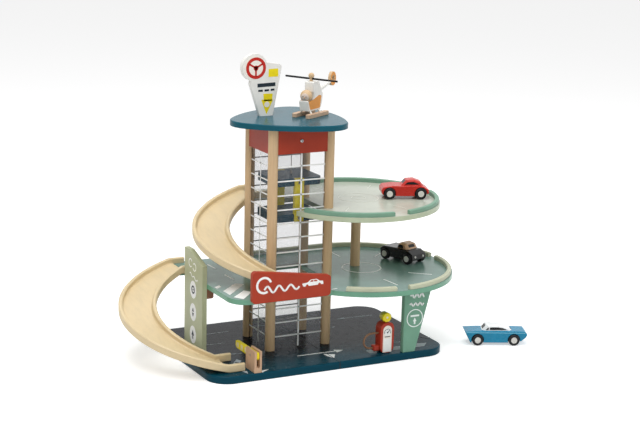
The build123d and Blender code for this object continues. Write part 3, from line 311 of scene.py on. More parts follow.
TEAL = painted("teal_paint", "043f50", 0.30, "2f7280", gloss=0.08)
# The roof takes a lighter copy of the teal paint: painted light and reflection on the roof.
TEAL_ROOF = painted("roof_teal_paint_lit", "0b5363", 0.22, "3c7c8a", gloss=0.15)
# Road ink: teal at the front, turning charcoal towards the back, where the charcoal is a painted shade under
# the decks.
ROAD = printed("road_ink_and_shade", "053a48", 0.25, "22252e", ("Object", 1, -0.115, -0.045), 0.05)
BEECH = bare_wood("beech_upright", "d2b38b", "z", 0.55, 0.9)
BEECH_BLOCK = bare_wood("beech_block", "c7a384", "z", 0.55, 0.7)
SKID_WOOD = bare_wood("beech_skids", "cdae92", "x", 0.55, 0.9, second="e6e3da", above=ROOF_TOP + 6.6 * MM)
DARK_BEECH = bare_wood("stained_beech", "8d5a3c", "z")
RAMP_WOOD = bare_wood("cream_moulding", "dcc8a0", "y", 0.42, 0.35)
RED = painted("red_paint", "a6361d", 0.40, "c06a4c")
# Lower deck: its tops take a darker, greyer green than its edges, a painted shade under the upper deck.
DECK_GREEN = painted("lower_deck_paint_and_shade", "6da187", 0.22, "9cc0ad", second="729289", where=TOP_SIDES_PAINTED_LIGHT)
# Upper deck: its tops take a greyer pale than its edges, painted light and reflection.
DECK_PALE = painted("upper_deck_paint_and_light", "b4bea2", 0.22, "c8cfba", second="bbc0b2", where=TOP_SIDES_PAINTED_LIGHT)
PALE_RAIL = painted("pale_rail_paint", "c3c6ac", 0.42, "d8d6c2")
GREEN_RAIL = painted("green_rail_paint", "769c86", 0.42, "9db8a7")
SAGE = painted("sage_paint", "b3b896", 0.42, "c9cdb4")
GREEN = painted("green_paint", "729f88", 0.42, "9bbcaa")
YELLOW = painted("yellow_paint", "f0dc1a", 0.36, "f0e37a")
# Globe: yellow at the front, turning a duller yellow towards the back, where the duller yellow is a painted
# shade.
GLOBE = painted("globe_paint_and_shade", "ecd91c", 0.22, "f0e37a", coat=0.2, second="cfc46a",
                where=("Object", 1, low("pump_globe").y + 4 * MM, low("pump_globe").y + 7 * MM))
WHITE = painted("white_paint", "eeece6", 0.40, "d9d4c6")
PUMP_RED = painted("pump_red_paint", "a93420", 0.36, "c9785a")
HOSE = painted("hose_rubber", "82614a", 0.55, "82614a", 0.0, 0.2 * MM)
BLACK = painted("black_paint", "141416", 0.34, "4a4a4a")
CAR_RED = painted("car_red_paint", "c12a20", 0.26, "d0685a", coat=0.15)
CAR_BLACK = painted("car_black_paint", "121214", 0.22, "5a5248", coat=0.2, second="c39c78",
                    where=("Object", 2, LOWER_TOP + 23.7 * MM, LOWER_TOP + 23.9 * MM))
CAR_BLUE = painted("car_blue_paint", "007fa4", 0.26, "6fb2cc", coat=0.15, second="eef0f1",
                   where=("Object", 2, 24.75 * MM, 24.9 * MM))
TYRE = painted("wheel_black_paint", "19191c", 0.45, "4c4c4c")
HUB = painted("hub_paint", "d9d7d1", 0.34, "efeeea", 0.3, 0.3 * MM, 0.2)
STEEL = metal("screw_steel", "b9bbbd")
CORD = fibre_cord("white_cord", "e9e7df")
SHEET = acrylic("clear_sheet")
GLASS_BLACK = printed("window_ink", "0d0d10", 0.18)
WHITE_INK = printed("white_ink", "f4f5f3", 0.42)
GREY_INK = printed("grey_ink", "a3adb3", 0.42)
PALE_GREEN_INK = printed("pale_green_ink", "eef5f1", 0.35)
CREAM_LINE = printed("cream_line_ink", "c8ccbf", 0.30)
# Dark ink for printed marks; it also paints the shade in the board seam and the screw slots.
DARK_INK_AND_SHADE = printed("dark_ink_and_shade", "1d2a33", 0.42)
RED_INK = printed("red_ink", "c02b22", 0.42)
RED_SIGN_INK = printed("red_sign_ink", "ab3b21", 0.42)
YELLOW_INK = printed("yellow_ink", "f0da1c", 0.42)
CREAM_INK = printed("cream_ink", "f3ece2", 0.42)
ORANGE_INK = printed("orange_ink", "e39a4c", 0.42)
FACE_INK = printed("face_ink", "d8c6b8", 0.45)
PALE_BLUE_INK = printed("pale_blue_ink", "77bcd3", 0.30)
SQUARE_INK = printed("square_ink", "ecdfae", 0.42)

CAD_MATERIALS = {
    TEAL: ["base_left", "base_right", "lift_floor", "lift_roof"],
    TEAL_ROOF: ["roof_deck"],
    BEECH: ["tower_post_front_left", "tower_post_front_right", "tower_post_back_left",
            "tower_post_back_right", "deck_post", "base_dowels", "winch_drum", "helicopter_pilot",
            "helicopter_hub", "helicopter_tail_ring"],
    BEECH_BLOCK: ["barrier_block"],
    SKID_WOOD: ["helicopter_skids"],
    DARK_BEECH: ["sign_bracket"],
    RAMP_WOOD: ["upper_ramp", "lower_ramp"],
    RED: ["header_front", "header_back", "header_sides", "long_sign", "crank_wheel"],
    DECK_GREEN: ["lower_deck"],
    DECK_PALE: ["upper_deck"],
    PALE_RAIL: ["lower_deck_rails"],
    GREEN_RAIL: ["upper_deck_rails"],
    SAGE: ["tall_sign"],
    GREEN: ["support_sign"],
    YELLOW: ["lift_bars", "barrier_arm"],
    GLOBE: ["pump_globe"],
    WHITE: ["roof_sign", "helicopter_body", "helicopter_tail"],
    PUMP_RED: ["pump_body", "pump_nozzle"],
    BLACK: ["helicopter_rotor"],
    CAR_RED: ["red_car_body"],
    CAR_BLACK: ["black_car_body"],
    CAR_BLUE: ["blue_car_body"],
    TYRE: ["red_car_front_wheels", "red_car_rear_wheels", "black_car_front_wheels", "black_car_rear_wheels",
           "blue_car_front_wheels", "blue_car_rear_wheels"],
    STEEL: ["post_screws", "axle_screw", "lift_screws", "bracket_screw", "barrier_pin"],
    SHEET: ["windows"],
}
for material, names in CAD_MATERIALS.items():
    for name in names:
        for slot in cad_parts[name].material_slots:
            slot.material = material


# ------------------------------------------------------------ the pump's hose
def piece(name, data, material, body):
    """Links a mesh or curve as a piece that rides on a body, when one is given."""
    obj = bpy.data.objects.new(name, data)
    bpy.context.scene.collection.objects.link(obj)
    data.materials.append(material)
    if body:
        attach(obj, body)
    return obj


hose_y = -0.1215
hose_radius = 1.7 * MM
hose_route = [(0.1110, 0.0450), (0.1030, 0.0450), (0.0950, 0.0456), (0.0866, 0.0446), (0.0802, 0.0390),
              (0.0786, 0.0310), (0.0818, 0.0240), (0.0880, 0.0206), (0.0945, 0.0210), (0.1010, 0.0210)]
hose_curve = bpy.data.curves.new("pump_hose_tube", "CURVE")
hose_curve.dimensions = "3D"
hose_curve.bevel_depth = hose_radius
hose_curve.bevel_resolution = 6
hose_curve.resolution_u = 16
hose_curve.use_fill_caps = True
hose_spline = hose_curve.splines.new("NURBS")
hose_spline.points.add(len(hose_route) - 1)
for point, (x, z) in zip(hose_spline.points, hose_route):
    point.co = (x, hose_y, z, 1.0)
hose_spline.order_u = 3
hose_spline.use_endpoint_u = True
hose = piece("pump_hose_tube", hose_curve, HOSE, "garage")
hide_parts("pump_hose")


# ------------------------------------------------------------ mesh helpers
def finish_mesh(name, bm, material, body, smooth=False):
    """Turns a finished bmesh into a piece."""
    bmesh.ops.recalc_face_normals(bm, faces=bm.faces)
    for face in bm.faces:
        face.smooth = smooth
    mesh = bpy.data.meshes.new(name)
    bm.to_mesh(mesh)
    bm.free()
    return piece(name, mesh, material, body)


class Face:
    """A flat printing face: local (u, v) in millimetres on a plane in the part frame."""

    def __init__(self, origin, u_dir, v_dir):
        self.origin = Vector(origin)
        self.u, self.v = Vector(u_dir).normalized(), Vector(v_dir).normalized()
        self.normal = self.u.cross(self.v)

    def point(self, u, v, lift=0.0):
        return self.origin + self.u * (u * MM) + self.v * (v * MM) + self.normal * lift


def add_layer(bm, face, outlines, level):
    """Adds thin plates: each outline is a closed list of (u, v) points."""
    for outline in outlines:
        top = [bm.verts.new(face.point(u, v, level * PRINT)) for u, v in outline]
        foot = [bm.verts.new(face.point(u, v, -0.5 * PRINT)) for u, v in outline]
        bm.faces.new(top)
        for i in range(len(top)):
            j = (i + 1) % len(top)
            bm.faces.new((foot[i], foot[j], top[j], top[i]))


def layers(name, pairs, material, body="garage", level=1):
    """One thin piece of print or painted shade on several faces, given as (face, outlines) pairs."""
    bm = bmesh.new()
    for face, outlines in pairs:
        add_layer(bm, face, outlines, level)
    bmesh.ops.triangulate(bm, faces=[f for f in bm.faces if len(f.verts) > 4])
    return finish_mesh(name, bm, material, body)


def layer(name, face, outlines, material, body="garage", level=1):
    """One thin piece of print or painted shade on one face."""
    return layers(name, [(face, outlines)], material, body, level)


def arc(centre, radius, start, end, steps=24):
    """Points on an arc, in degrees; radius may be a pair for an ellipse."""
    rx, ry = radius if isinstance(radius, tuple) else (radius, radius)
    angles = [math.radians(start + (end - start) * i / steps) for i in range(steps + 1)]
    return [(centre[0] + rx * math.cos(a), centre[1] + ry * math.sin(a)) for a in angles]


def disc(centre, radius, steps=40):
    return arc(centre, radius, 0, 360 - 360 / steps, steps - 1)


def ring(centre, radius, width, start=0, end=360, steps=48):
    """Quads that make an arc-shaped line."""
    outer = arc(centre, radius + width / 2, start, end, steps)
    inner = arc(centre, radius - width / 2, start, end, steps)
    return [[outer[i], outer[i + 1], inner[i + 1], inner[i]] for i in range(steps)]


def bar(start, end, width):
    """Straight line of a given width as one quad."""
    (x0, y0), (x1, y1) = start, end
    length = math.hypot(x1 - x0, y1 - y0)
    dx, dy = -(y1 - y0) / length * width / 2, (x1 - x0) / length * width / 2
    return [(x0 + dx, y0 + dy), (x1 + dx, y1 + dy), (x1 - dx, y1 - dy), (x0 - dx, y0 - dy)]


def arrow(tail, tip, width, head, spread=0.75):
    """Straight arrow: a bar and a triangle."""
    (x0, y0), (x1, y1) = tail, tip
    length = math.hypot(x1 - x0, y1 - y0)
    dx, dy = (x1 - x0) / length, (y1 - y0) / length
    neck = (x1 - dx * head * 1.4, y1 - dy * head * 1.4)
    side = (-dy * head * spread, dx * head * spread)
    return [bar(tail, neck, width),
            [(neck[0] + side[0], neck[1] + side[1]), tip, (neck[0] - side[0], neck[1] - side[1])]]


def stroke(points, width):
    """A line of quads through points."""
    return [bar(a, b, width) for a, b in zip(points, points[1:])]


def spokes(centre, inner, outer, degrees, width):
    """Straight lines outwards from one circle to another, one at each angle."""
    out = []
    for a in [math.radians(d) for d in degrees]:
        x, y = math.cos(a), math.sin(a)
        out.append(bar((centre[0] + inner * x, centre[1] + inner * y),
                       (centre[0] + outer * x, centre[1] + outer * y), width))
    return out


def wavy(start, step, height, rate, count=17):
    """Points of a waved line: step is the way between them before the wave is added."""
    return [(start[0] + step[0] * i, start[1] + step[1] * i + height * math.sin(i * rate))
            for i in range(count)]


def rounded(points, radius, steps=5):
    """Polygon with every corner replaced by a short curve."""
    out = []
    for i, p in enumerate(points):
        a, b = Vector(points[i - 1]), Vector(points[(i + 1) % len(points)])
        p = Vector(p)
        r = min(radius, (a - p).length * 0.45, (b - p).length * 0.45)
        start, end = p + (a - p).normalized() * r, p + (b - p).normalized() * r
        for k in range(steps + 1):
            t = k / steps
            q = start * (1 - t) ** 2 + p * 2 * t * (1 - t) + end * t ** 2
            out.append((q.x, q.y))
    return out


def top_face(z):
    return Face((0, 0, z), (1, 0, 0), (0, 1, 0))


def front_face(node):
    return Face((0, low(node).y, 0), (1, 0, 0), (0, 0, 1))


def add_lathe(bm, origin, axis, profile, steps=28):
    """Adds a turned form: the profile is (radius, height) in millimetres along an axis."""
    axis = Vector(axis).normalized()
    side = axis.orthogonal().normalized()
    other = axis.cross(side)
    rings = []
    for radius, height in profile:
        centre = Vector(origin) + axis * (height * MM)
        if radius == 0:
            rings.append([bm.verts.new(centre)])
            continue
        turn = [2 * math.pi * i / steps for i in range(steps)]
        rings.append([bm.verts.new(centre + (side * math.cos(a) + other * math.sin(a)) * (radius * MM))
                      for a in turn])
    for first, second in zip(rings, rings[1:]):
        for i in range(steps):
            j = (i + 1) % steps
            corners = [first[i % len(first)], first[j % len(first)], second[j % len(second)],
                       second[i % len(second)]]
            unique = list(dict.fromkeys(corners))
            if len(unique) > 2:
                bm.faces.new(unique)


def add_tube(bm, points, radius, sides=8):
    """Adds a tube along points, with its section carried along without twist."""
    points = [Vector(p) for p in points]
    side = None
    rings = []
    for i, p in enumerate(points):
        ahead = (points[min(i + 1, len(points) - 1)] - points[max(i - 1, 0)]).normalized()
        side = ahead.orthogonal() if side is None else side - ahead * side.dot(ahead)
        side.normalize()
        other = ahead.cross(side)
        turn = [2 * math.pi * k / sides for k in range(sides)]
        rings.append([bm.verts.new(p + (side * math.cos(a) + other * math.sin(a)) * radius) for a in turn])
    for first, second in zip(rings, rings[1:]):
        for k in range(sides):
            m = (k + 1) % sides
            bm.faces.new((first[k], first[m], second[m], second[k]))
    bm.faces.new(rings[0])
    bm.faces.new(rings[-1])


def twisted(line, offset, lay, turns_per_m, strands=2):
    """Strands wound round a line, which is a function of a share from 0 to 1; lay is its length."""
    steps = max(40, int(lay * turns_per_m * 8))
    paths = []
    for strand in range(strands):
        path = []
        for i in range(steps + 1):
            t = i / steps
            here = line(t)
            ahead = (line(min(1.0, t + 0.002)) - line(max(0.0, t - 0.002))).normalized()
            side = ahead.cross(Vector((0.3, 0.5, 0.81))).normalized()
            other = ahead.cross(side)
            angle = 2 * math.pi * (turns_per_m * lay * t + strand / strands)
            path.append(here + (side * math.cos(angle) + other * math.sin(angle)) * offset)
        paths.append(path)
    return paths


# ------------------------------------------------------------ hoist cord, its turns on the drum and its knot
cord_low, cord_high = low("lift_cord"), high("lift_cord")
cord_x, cord_y = (cord_low.x + cord_high.x) / 2, (cord_low.y + cord_high.y) / 2
STRAND, STRAND_OFFSET = 0.42 * MM, 0.36 * MM
STRAND_TURNS = 260           # turns of a strand in one metre


def add_strands(bm, line, lay):
    """Adds the two strands of a cord along a line."""
    for path in twisted(line, STRAND_OFFSET, lay, STRAND_TURNS):
        add_tube(bm, path, STRAND, 6)


def add_upright_cord(bm, top, bottom):
    """Adds a straight cord under the drum, from one height down to another."""
    add_strands(bm, lambda t: Vector((cord_x, cord_y, top + (bottom - top) * t)), top - bottom)


bm = bmesh.new()
add_upright_cord(bm, cord_high.z, cord_low.z)
hoist_cord = finish_mesh("hoist_cord", bm, CORD, None, True)
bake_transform(hoist_cord)
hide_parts("lift_cord")

winding_low, winding_high = low("cord_winding"), high("cord_winding")
axle = middle("winch_drum")
winding_radius = cord_x - axle.x
turns, pitch = 4, 2.2 * MM
winding_start = (winding_low.y + winding_high.y - turns * pitch) / 2


def winding_line(t):
    """Point on the coil round the drum, at a share of its length."""
    angle = 2 * math.pi * turns * t
    return Vector((axle.x + winding_radius * math.cos(angle), winding_start + turns * pitch * t,
                   axle.z - winding_radius * math.sin(angle)))


bm = bmesh.new()
add_strands(bm, winding_line, 2 * math.pi * turns * winding_radius)
drum_winding = finish_mesh("drum_winding", bm, CORD, "crank", True)
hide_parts("cord_winding")

knot_low, knot_high = low("cord_knot"), high("cord_knot")
knot_middle = middle("cord_knot")
KNOT_STEPS, KNOT_CORD = 72, 0.72 * MM
KNOT_WIDTH, KNOT_RISE, KNOT_LEAN = 0.42, 1.7, 0.6
knot_path = []
for i in range(KNOT_STEPS + 1):
    a = 2 * math.pi * i / KNOT_STEPS
    reach = (2 + math.cos(3 * a)) * KNOT_WIDTH
    knot_path.append(knot_middle + Vector((reach * math.cos(2 * a), reach * math.sin(2 * a),
                                           math.sin(3 * a) * KNOT_RISE + math.sin(a) * KNOT_LEAN)) * MM)
bm = bmesh.new()
add_tube(bm, knot_path, KNOT_CORD, 8)
add_upright_cord(bm, knot_high.z, knot_low.z)
knot = finish_mesh("hoist_knot", bm, CORD, "lift", True)
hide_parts("cord_knot")

# ------------------------------------------------------------ prints on the base, with painted shade at the seam of its boards
base_face = top_face(BASE_TOP)
left, front = low("base_left").x / MM, low("base_left").y / MM
right, back = high("base_right").x / MM, high("base_right").y / MM
split = high("base_left").x / MM      # where the two boards meet
inset = 3.0                  # bare border of the boards
seam = 0.6                   # bare strip on each side of the split
road_left = [(left + inset, front + inset), (split - seam, front + inset), (split - seam, back - inset),
             (left + inset, back - inset)]
road_right = [(split + seam, front + inset), (right - inset, front + inset), (right - inset, back - inset),
              (split + seam, back - inset)]


def board_outline(corners, rounds, radius=33.0):
    """Rectangle whose numbered corners are quarter circles."""
    out = []
    for i, (x, y) in enumerate(corners):
        if i not in rounds:
            out.append((x, y))
            continue
        start = {0: 180, 1: 270, 2: 0, 3: 90}[i]
        cx = x + radius * (1 if i in (0, 3) else -1)
        cy = y + radius * (1 if i in (0, 1) else -1)
        out += arc((cx, cy), radius, start, start + 90, 12)
    return out


layer("road_left", base_face, [board_outline(road_left, (0, 3))], ROAD)
layer("road_right", base_face, [board_outline(road_right, (1, 2))], ROAD)
base_lines = [bar((-140, -36), (-98, -40), 2.2), bar((-140, 22), (-100, 20), 2.0),
              bar((-112, 74), (-70, 76), 2.2), bar((150, -85), (174, -88), 2.0),
              bar((60, 92), (100, 92), 2.0), bar((-40, 84), (10, 84), 2.0)]
layer("base_lines", base_face, base_lines + arrow((198, 66), (130, 69), 2.2, 11, 0.35), GREY_INK, level=2)
base_heads = [[(20, -94), (37, -104), (27, -120), (21, -107)], [(-108, -132), (-93, -130), (-109, -140)]]
layer("base_arrows", base_face, arrow((-23, -88), (60, -89), 2.8, 11, 0.7) + base_heads, WHITE_INK, level=2)
base_patches = [[(-137, -89), (-119, -65), (-115, -75), (-132, -97)],
                [(-136, -124), (-128, -124), (-132, -137)],
                [(92, -105), (111, -104), (102, -125), (91, -120)],
                [(144, -106), (162, -108), (153, -124), (134, -120)],
                [(188, -105), (205, -108), (192, -122), (173, -122)], bar((100, 29), (106, 29), 3.2)]
layer("base_patches", base_face, base_patches, GREY_INK, level=2)
# The last bar, along the split, is painted shade in the seam between the two boards.
dark_marks = [bar((214, -75), (222, -88), 7), bar((-128, -79), (-124, -85), 5),
              bar((split, front + 1), (split, back - 1), 1.1)]
layer("base_dark_marks", base_face, dark_marks, DARK_INK_AND_SHADE, level=3)
# Dark strip down the front at the split: a painted shadow of the notch between the two boards.
layer("board_seam_shadow", front_face("base_left"), [bar((split, 0.6), (split, BASE_TOP / MM - 0.6), 2.2)],
      DARK_INK_AND_SHADE)

# ------------------------------------------------------------ prints on the decks
deck_face = top_face(LOWER_TOP)
layer("lower_deck_ring", deck_face, ring((127.6, -18.4), 32, 2.3), PALE_GREEN_INK)
bay_lines = [((128, 89), (128, 58)), ((183, 36), (211, 59)), ((126, -97), (130, -135)),
             ((184, -76), (214, -101)), ((20, -118), (31, -116)), ((-100, 26), (-99, -6)),
             ((-100, 96), (-99, 66)), ((-30, 108), (-29, 78))]
layer("lower_deck_bays", deck_face, [bar(a, b, 2.6) for a, b in bay_lines], PALE_GREEN_INK)
zebra = [[(-142, -62), (-107, -29), (-95, -38), (-141, -86)],
         [(-141, -100), (-111, -71), (-102, -83), (-131, -115)],
         [(-145, -36), (-134, -29), (-135, -38), (-145, -46)],
         [(-119, -117), (-99, -94), (-90, -104), (-100, -118)]]
layer("lower_deck_zebra", deck_face, zebra, WHITE_INK)
upper_face = top_face(UPPER_TOP)
upper_centre = (130, 3)
layer("upper_deck_rings", upper_face, ring(upper_centre, 33, 1.5) + ring(upper_centre, 12, 1.5, 0, 360, 32),
      CREAM_LINE)
layer("upper_deck_bays", upper_face, spokes(upper_centre, 76, 103, (-130, -70, -10, 50, 110), 2.0),
      CREAM_LINE)

# ------------------------------------------------------------ printed lines on the windows
LINES_START, LINES_PITCH, LINES_COUNT = 33.5, 23.2, 13
sheets = {
    "front": (front_face("windows"), -44, 44),
    "back": (Face((0, high("windows").y, 0), (-1, 0, 0), (0, 0, 1)), -44, 44),
    "left": (Face((low("windows").x, 0, 0), (0, -1, 0), (0, 0, 1)), -36, 36),
}
for side, (face, start, end) in sheets.items():
    heights = [LINES_START + LINES_PITCH * i for i in range(LINES_COUNT)]
    lines = [bar((start, z), (end, z), 2.2) for z in heights] + [bar((0, 14), (0, 332), 2.6)]
    layer(f"window_lines_{side}", face, lines, WHITE_INK)

# ------------------------------------------------------------ roof sign
sign_front = Face((0, low("roof_sign").y, ROOF_TOP), (1, 0, 0), (0, 0, 1))
layer("roof_sign_disc", sign_front, [disc((-53.5, 78.6), 18.5)], CREAM_INK)
wheel = (-51.5, 77.6)
wheel_spokes = spokes(wheel, 0, 13, (-90, 30, 150), 3.0)
layer("roof_sign_wheel", sign_front, ring(wheel, 14.8, 5.0) + wheel_spokes + [disc(wheel, 4.2, 24)], RED_INK,
      level=2)
layer("roof_sign_yellow", sign_front,
      [rounded([(-29.5, 62.5), (-12, 62.5), (-12.5, 75.6), (-29, 75.2)], 1.0),
       rounded([(-38, 36), (-21.5, 35.5), (-22.5, 24), (-37, 24)], 1.0),
       rounded([(-41.5, 26.5), (-20.5, 26), (-32, 2.5)], 1.5)], YELLOW_INK)
layer("roof_sign_dot", sign_front, [disc((-31.4, 18.5), 4.6, 24)], CREAM_INK, level=2)
layer("roof_sign_stripes", sign_front,
      [bar((-48.5, 49.5), (-17, 50.5), 6), bar((-47, 41), (-39, 41), 3.2),
       bar((-36, 41), (-28, 41.5), 3.2), bar((-25, 41.5), (-18.5, 42), 3.2)], DARK_INK_AND_SHADE)

# ------------------------------------------------------------ long sign
long_face = front_face("long_sign")
wave = []
for i in range(49):
    t = i / 48
    wave.append((-104 + 60 * t, 141.5 + 5.5 * math.sin(6 * math.pi * t) * (1 - 0.3 * t)))
layer("long_sign_wave", long_face, stroke(wave, 3.2) + ring((-104.5, 149), 12.0, 3.6, 20, 300, 30), WHITE_INK)
car_shape = rounded([(-37, 140), (-39.5, 145), (-30, 146), (-24.5, 150.2), (-14, 150.4), (-8.5, 146.8),
                     (-3, 146.4), (-2, 141)], 1.2)
layer("long_sign_car", long_face, [car_shape], WHITE_INK)
layer("long_sign_car_marks", long_face,
      [disc((-30.5, 140.4), 2.5, 16), disc((-9, 141), 2.5, 16),
       [(-26, 146.6), (-23.6, 149.2), (-20, 149.2), (-20, 146.6)],
       [(-18.6, 146.6), (-18.6, 149.2), (-14.8, 149.2), (-12.2, 146.8)]], RED_SIGN_INK, level=2)

# ------------------------------------------------------------ tall sign
tall_face = Face((low("tall_sign").x, 0, 0), (0, -1, 0), (0, 0, 1))
oval_u = -21.5
ring_z, pointer_z, arrow_z = 108.0, 70.5, 33.0
layer("tall_sign_ovals", tall_face, [disc((oval_u, z), (12.5, 14.7)) for z in (ring_z, pointer_z, arrow_z)],
      WHITE_INK)
pointers = [rounded([(oval_u - 4, pointer_z + way), (oval_u + 4, pointer_z + way),
                     (oval_u, pointer_z + 8 * way)], 1) for way in (1, -1)]
layer("tall_sign_marks", tall_face,
      ring((oval_u, ring_z), 5.5, 2.8, 0, 360, 24) + [disc((oval_u, ring_z), 1.8, 16)] + pointers
      + arrow((oval_u, arrow_z - 7), (oval_u, arrow_z + 8), 3.0, 6.5), DARK_INK_AND_SHADE, level=2)
layer("tall_sign_swirls", tall_face,
      ring((-33, 150), 6.5, 1.8, 30, 310, 20) + ring((-17, 146), 6, 1.8, 200, 500, 20)
      + stroke(wavy((-36, 133), (2, -0.5), 1.8, 0.9), 1.8), WHITE_INK)

# ------------------------------------------------------------ support sign
support_face = front_face("support_sign")
badge_x, badge_z = 162, 68
layer("support_badge", support_face,
      ring((badge_x, badge_z), 14.3, 1.6) + [bar((badge_x - 8, badge_z + 4), (badge_x + 8, badge_z + 4), 3.0)]
      + arrow((badge_x, badge_z - 10), (badge_x, badge_z + 1), 3, 4.5), PALE_GREEN_INK)
layer("support_stripes", support_face,
      stroke(wavy((153, 105.5), (1.6, 0), 3.4, 1.1), 3.0) + stroke(wavy((152, 91), (1.6, 0), 2.6, 1.2), 2.6),
      WHITE_INK)

# ------------------------------------------------------------ fuel pump
pump_face = front_face("pump_body")
px = middle("pump_body").x / MM
PANEL_FOOT, PANEL_SHOULDER, PANEL_HALF = 13.6, 50, 8
dial = (px, 46.5)
panel = ([(px - PANEL_HALF, PANEL_FOOT), (px + PANEL_HALF, PANEL_FOOT), (px + PANEL_HALF, PANEL_SHOULDER)]
         + arc((px, PANEL_SHOULDER), PANEL_HALF, 0, 180, 16)[1:-1] + [(px - PANEL_HALF, PANEL_SHOULDER)])
layer("pump_panel", pump_face, [panel], CREAM_INK)
field = rounded([(px - 6.2, 15), (px + 6.2, 15), (px + 6.2, 36.5), (px - 6.2, 36.5)], 0.8)
layer("pump_panel_field", pump_face, [field, disc((px, 47), 6.3, 32)], WHITE_INK, level=2)
layer("pump_gauge", pump_face,
      ring(dial, 5.9, 0.6, -20, 200, 24) + spokes(dial, 4.2, 5.4, (0, 45, 90, 135, 180), 0.7)
      + [bar((px - 1.0, 45.6), (px + 3.6, 49.9), 1.1), disc(dial, 1.3, 16),
         bar((px - 5, 39.5), (px + 5, 39.5), 1.3)], DARK_INK_AND_SHADE, level=3)
globe_middle = middle("pump_globe")
bm = bmesh.new()
add_lathe(bm, (globe_middle.x, low("pump_globe").y, globe_middle.z), (0, -1, 0),
          [(0, 0.28), (1.4, 0.25), (1.8, 0.1), (1.9, -0.2)])
finish_mesh("pump_globe_centre", bm, CREAM_INK, "garage", True)

# ------------------------------------------------------------ barrier
arm_face = Face((low("barrier_arm").x, 0, 0), (0, -1, 0), (0, 0, 1))
arm_low = low("barrier_arm").z / MM
SQUARE = 8
square_foot, square_head = arm_low + 2, arm_low + 2 + SQUARE
squares = [rounded([(u, square_foot), (u + SQUARE, square_foot), (u + SQUARE, square_head), (u, square_head)],
                   0.6) for u in (64, 79, 94)]
layer("barrier_squares", arm_face, squares, SQUARE_INK, "barrier")

# ------------------------------------------------------------ screw recesses, with painted shade in their slots
CROSS_REACH, CROSS_WIDTH = 1.1, 0.7


def screw_slot_shades(name, centres, body):
    """Dark crosses on the front of screw heads, a painted shade of their slots, at (x, z) places in
    millimetres.
    """
    crosses = [bar((x - way * CROSS_REACH, z - CROSS_REACH), (x + way * CROSS_REACH, z + CROSS_REACH),
                   CROSS_WIDTH) for x, z in centres for way in (-1, 1)]
    layer(f"{name}_cross", front_face(name), crosses, DARK_INK_AND_SHADE, body)


axle_screw = middle("axle_screw") / MM
screw_x = middle("lift_screws").x / MM
screw_low, screw_high = low("lift_screws").z / MM + 3, high("lift_screws").z / MM - 3
screw_slot_shades("axle_screw", [(axle_screw.x, axle_screw.z)], "crank")
screw_slot_shades("lift_screws", [(screw_x, screw_low), (screw_x, screw_high)], "lift")


# ------------------------------------------------------------ helicopter
class Heading:
    """Upright frame of a toy: along its heading, to its side and up, in millimetres."""

    def __init__(self, x, y, z, heading):
        a = math.radians(heading)
        self.origin = Vector((x, y, z)) * MM
        self.ahead = Vector((math.cos(a), math.sin(a), 0))
        self.side = Vector((math.sin(a), -math.cos(a), 0))

    def at(self, along, up, aside=0.0):
        """A point of the toy in the part frame."""
        across = self.side * (aside * MM)
        return self.origin + self.ahead * (along * MM) + across + Vector((0, 0, up * MM))

    def flank(self, aside):
        """Face of one side; its u runs along the heading on the positive side, else against it."""
        way = 1 if aside > 0 else -1
        return Face(self.at(0, 0, aside), self.ahead * way, (0, 0, 1))

    def both(self, aside, outlines):
        """The same outlines on both flanks."""
        mirrored = [[(-u, v) for u, v in outline] for outline in outlines]
        return [(self.flank(aside), outlines), (self.flank(-aside), mirrored)]

    def slope(self, start, end, outlines, forward):
        """Outlines on a sloped face across the toy, from one (along, up) point to another."""
        rise = self.ahead * (end[0] - start[0]) + Vector((0, 0, end[1] - start[1]))
        across = -self.side if forward else self.side
        return [(Face(self.at(*start), across, rise), outlines)]


HELI_HEADING, HELI_HALF, PILOT_R = 31.0, 8.5, 9.8
heli = Heading(36.0, 0.0, ROOF_TOP / MM, HELI_HEADING)
flank_panel = rounded([(-20, 24.5), (-18.4, 26.3), (-6, 27.6), (11.6, 33.6), (18.3, 31.2), (14.2, 12.4),
                       (-14.8, 12)], 2.2)
layers("helicopter_panels", heli.both(HELI_HALF, [flank_panel]), ORANGE_INK, "helicopter")
pilot = middle("helicopter_pilot")


def add_cap(bm, centre, direction, radius, spread, lift=0.15):
    """Adds a thin cap on a ball: spread is its half angle in degrees."""
    angles = [math.radians(spread * i / 8) for i in range(9)]
    profile = [((radius + lift) * math.sin(a), (radius + lift) * math.cos(a)) for a in angles]
    profile[0] = (0, radius + lift)
    profile.append(((radius - 0.2) * math.sin(angles[-1]), (radius - 0.2) * math.cos(angles[-1])))
    add_lathe(bm, centre, direction, profile, 32)


face_dir = (-heli.ahead + heli.side * 0.25 + Vector((0, 0, -0.18))).normalized()
face_across = face_dir.cross(Vector((0, 0, 1)))
bm = bmesh.new()
add_cap(bm, pilot, face_dir, PILOT_R, 42)
finish_mesh("pilot_face", bm, FACE_INK, "helicopter", True)
bm = bmesh.new()
for aside in (-0.27, 0.27):
    look = (face_dir + face_across * aside + Vector((0, 0, 0.16))).normalized()
    add_cap(bm, pilot, look, PILOT_R, 4.8, 0.3)
smile = []
for i in range(9):
    a = math.radians(-50 + 100 * i / 8)
    bend = face_across.normalized() * (0.26 * math.sin(a)) + Vector((0, 0, -0.14 - 0.14 * math.cos(a)))
    smile.append(pilot + (face_dir + bend).normalized() * ((PILOT_R + 0.1) * MM))
add_tube(bm, smile, 0.25 * MM, 6)
finish_mesh("pilot_eyes_and_smile", bm, DARK_INK_AND_SHADE, "helicopter", True)
bm = bmesh.new()
add_cap(bm, pilot, (face_dir + Vector((0, 0, -0.02))).normalized(), PILOT_R, 5, 0.5)
finish_mesh("pilot_nose", bm, ORANGE_INK, "helicopter", True)

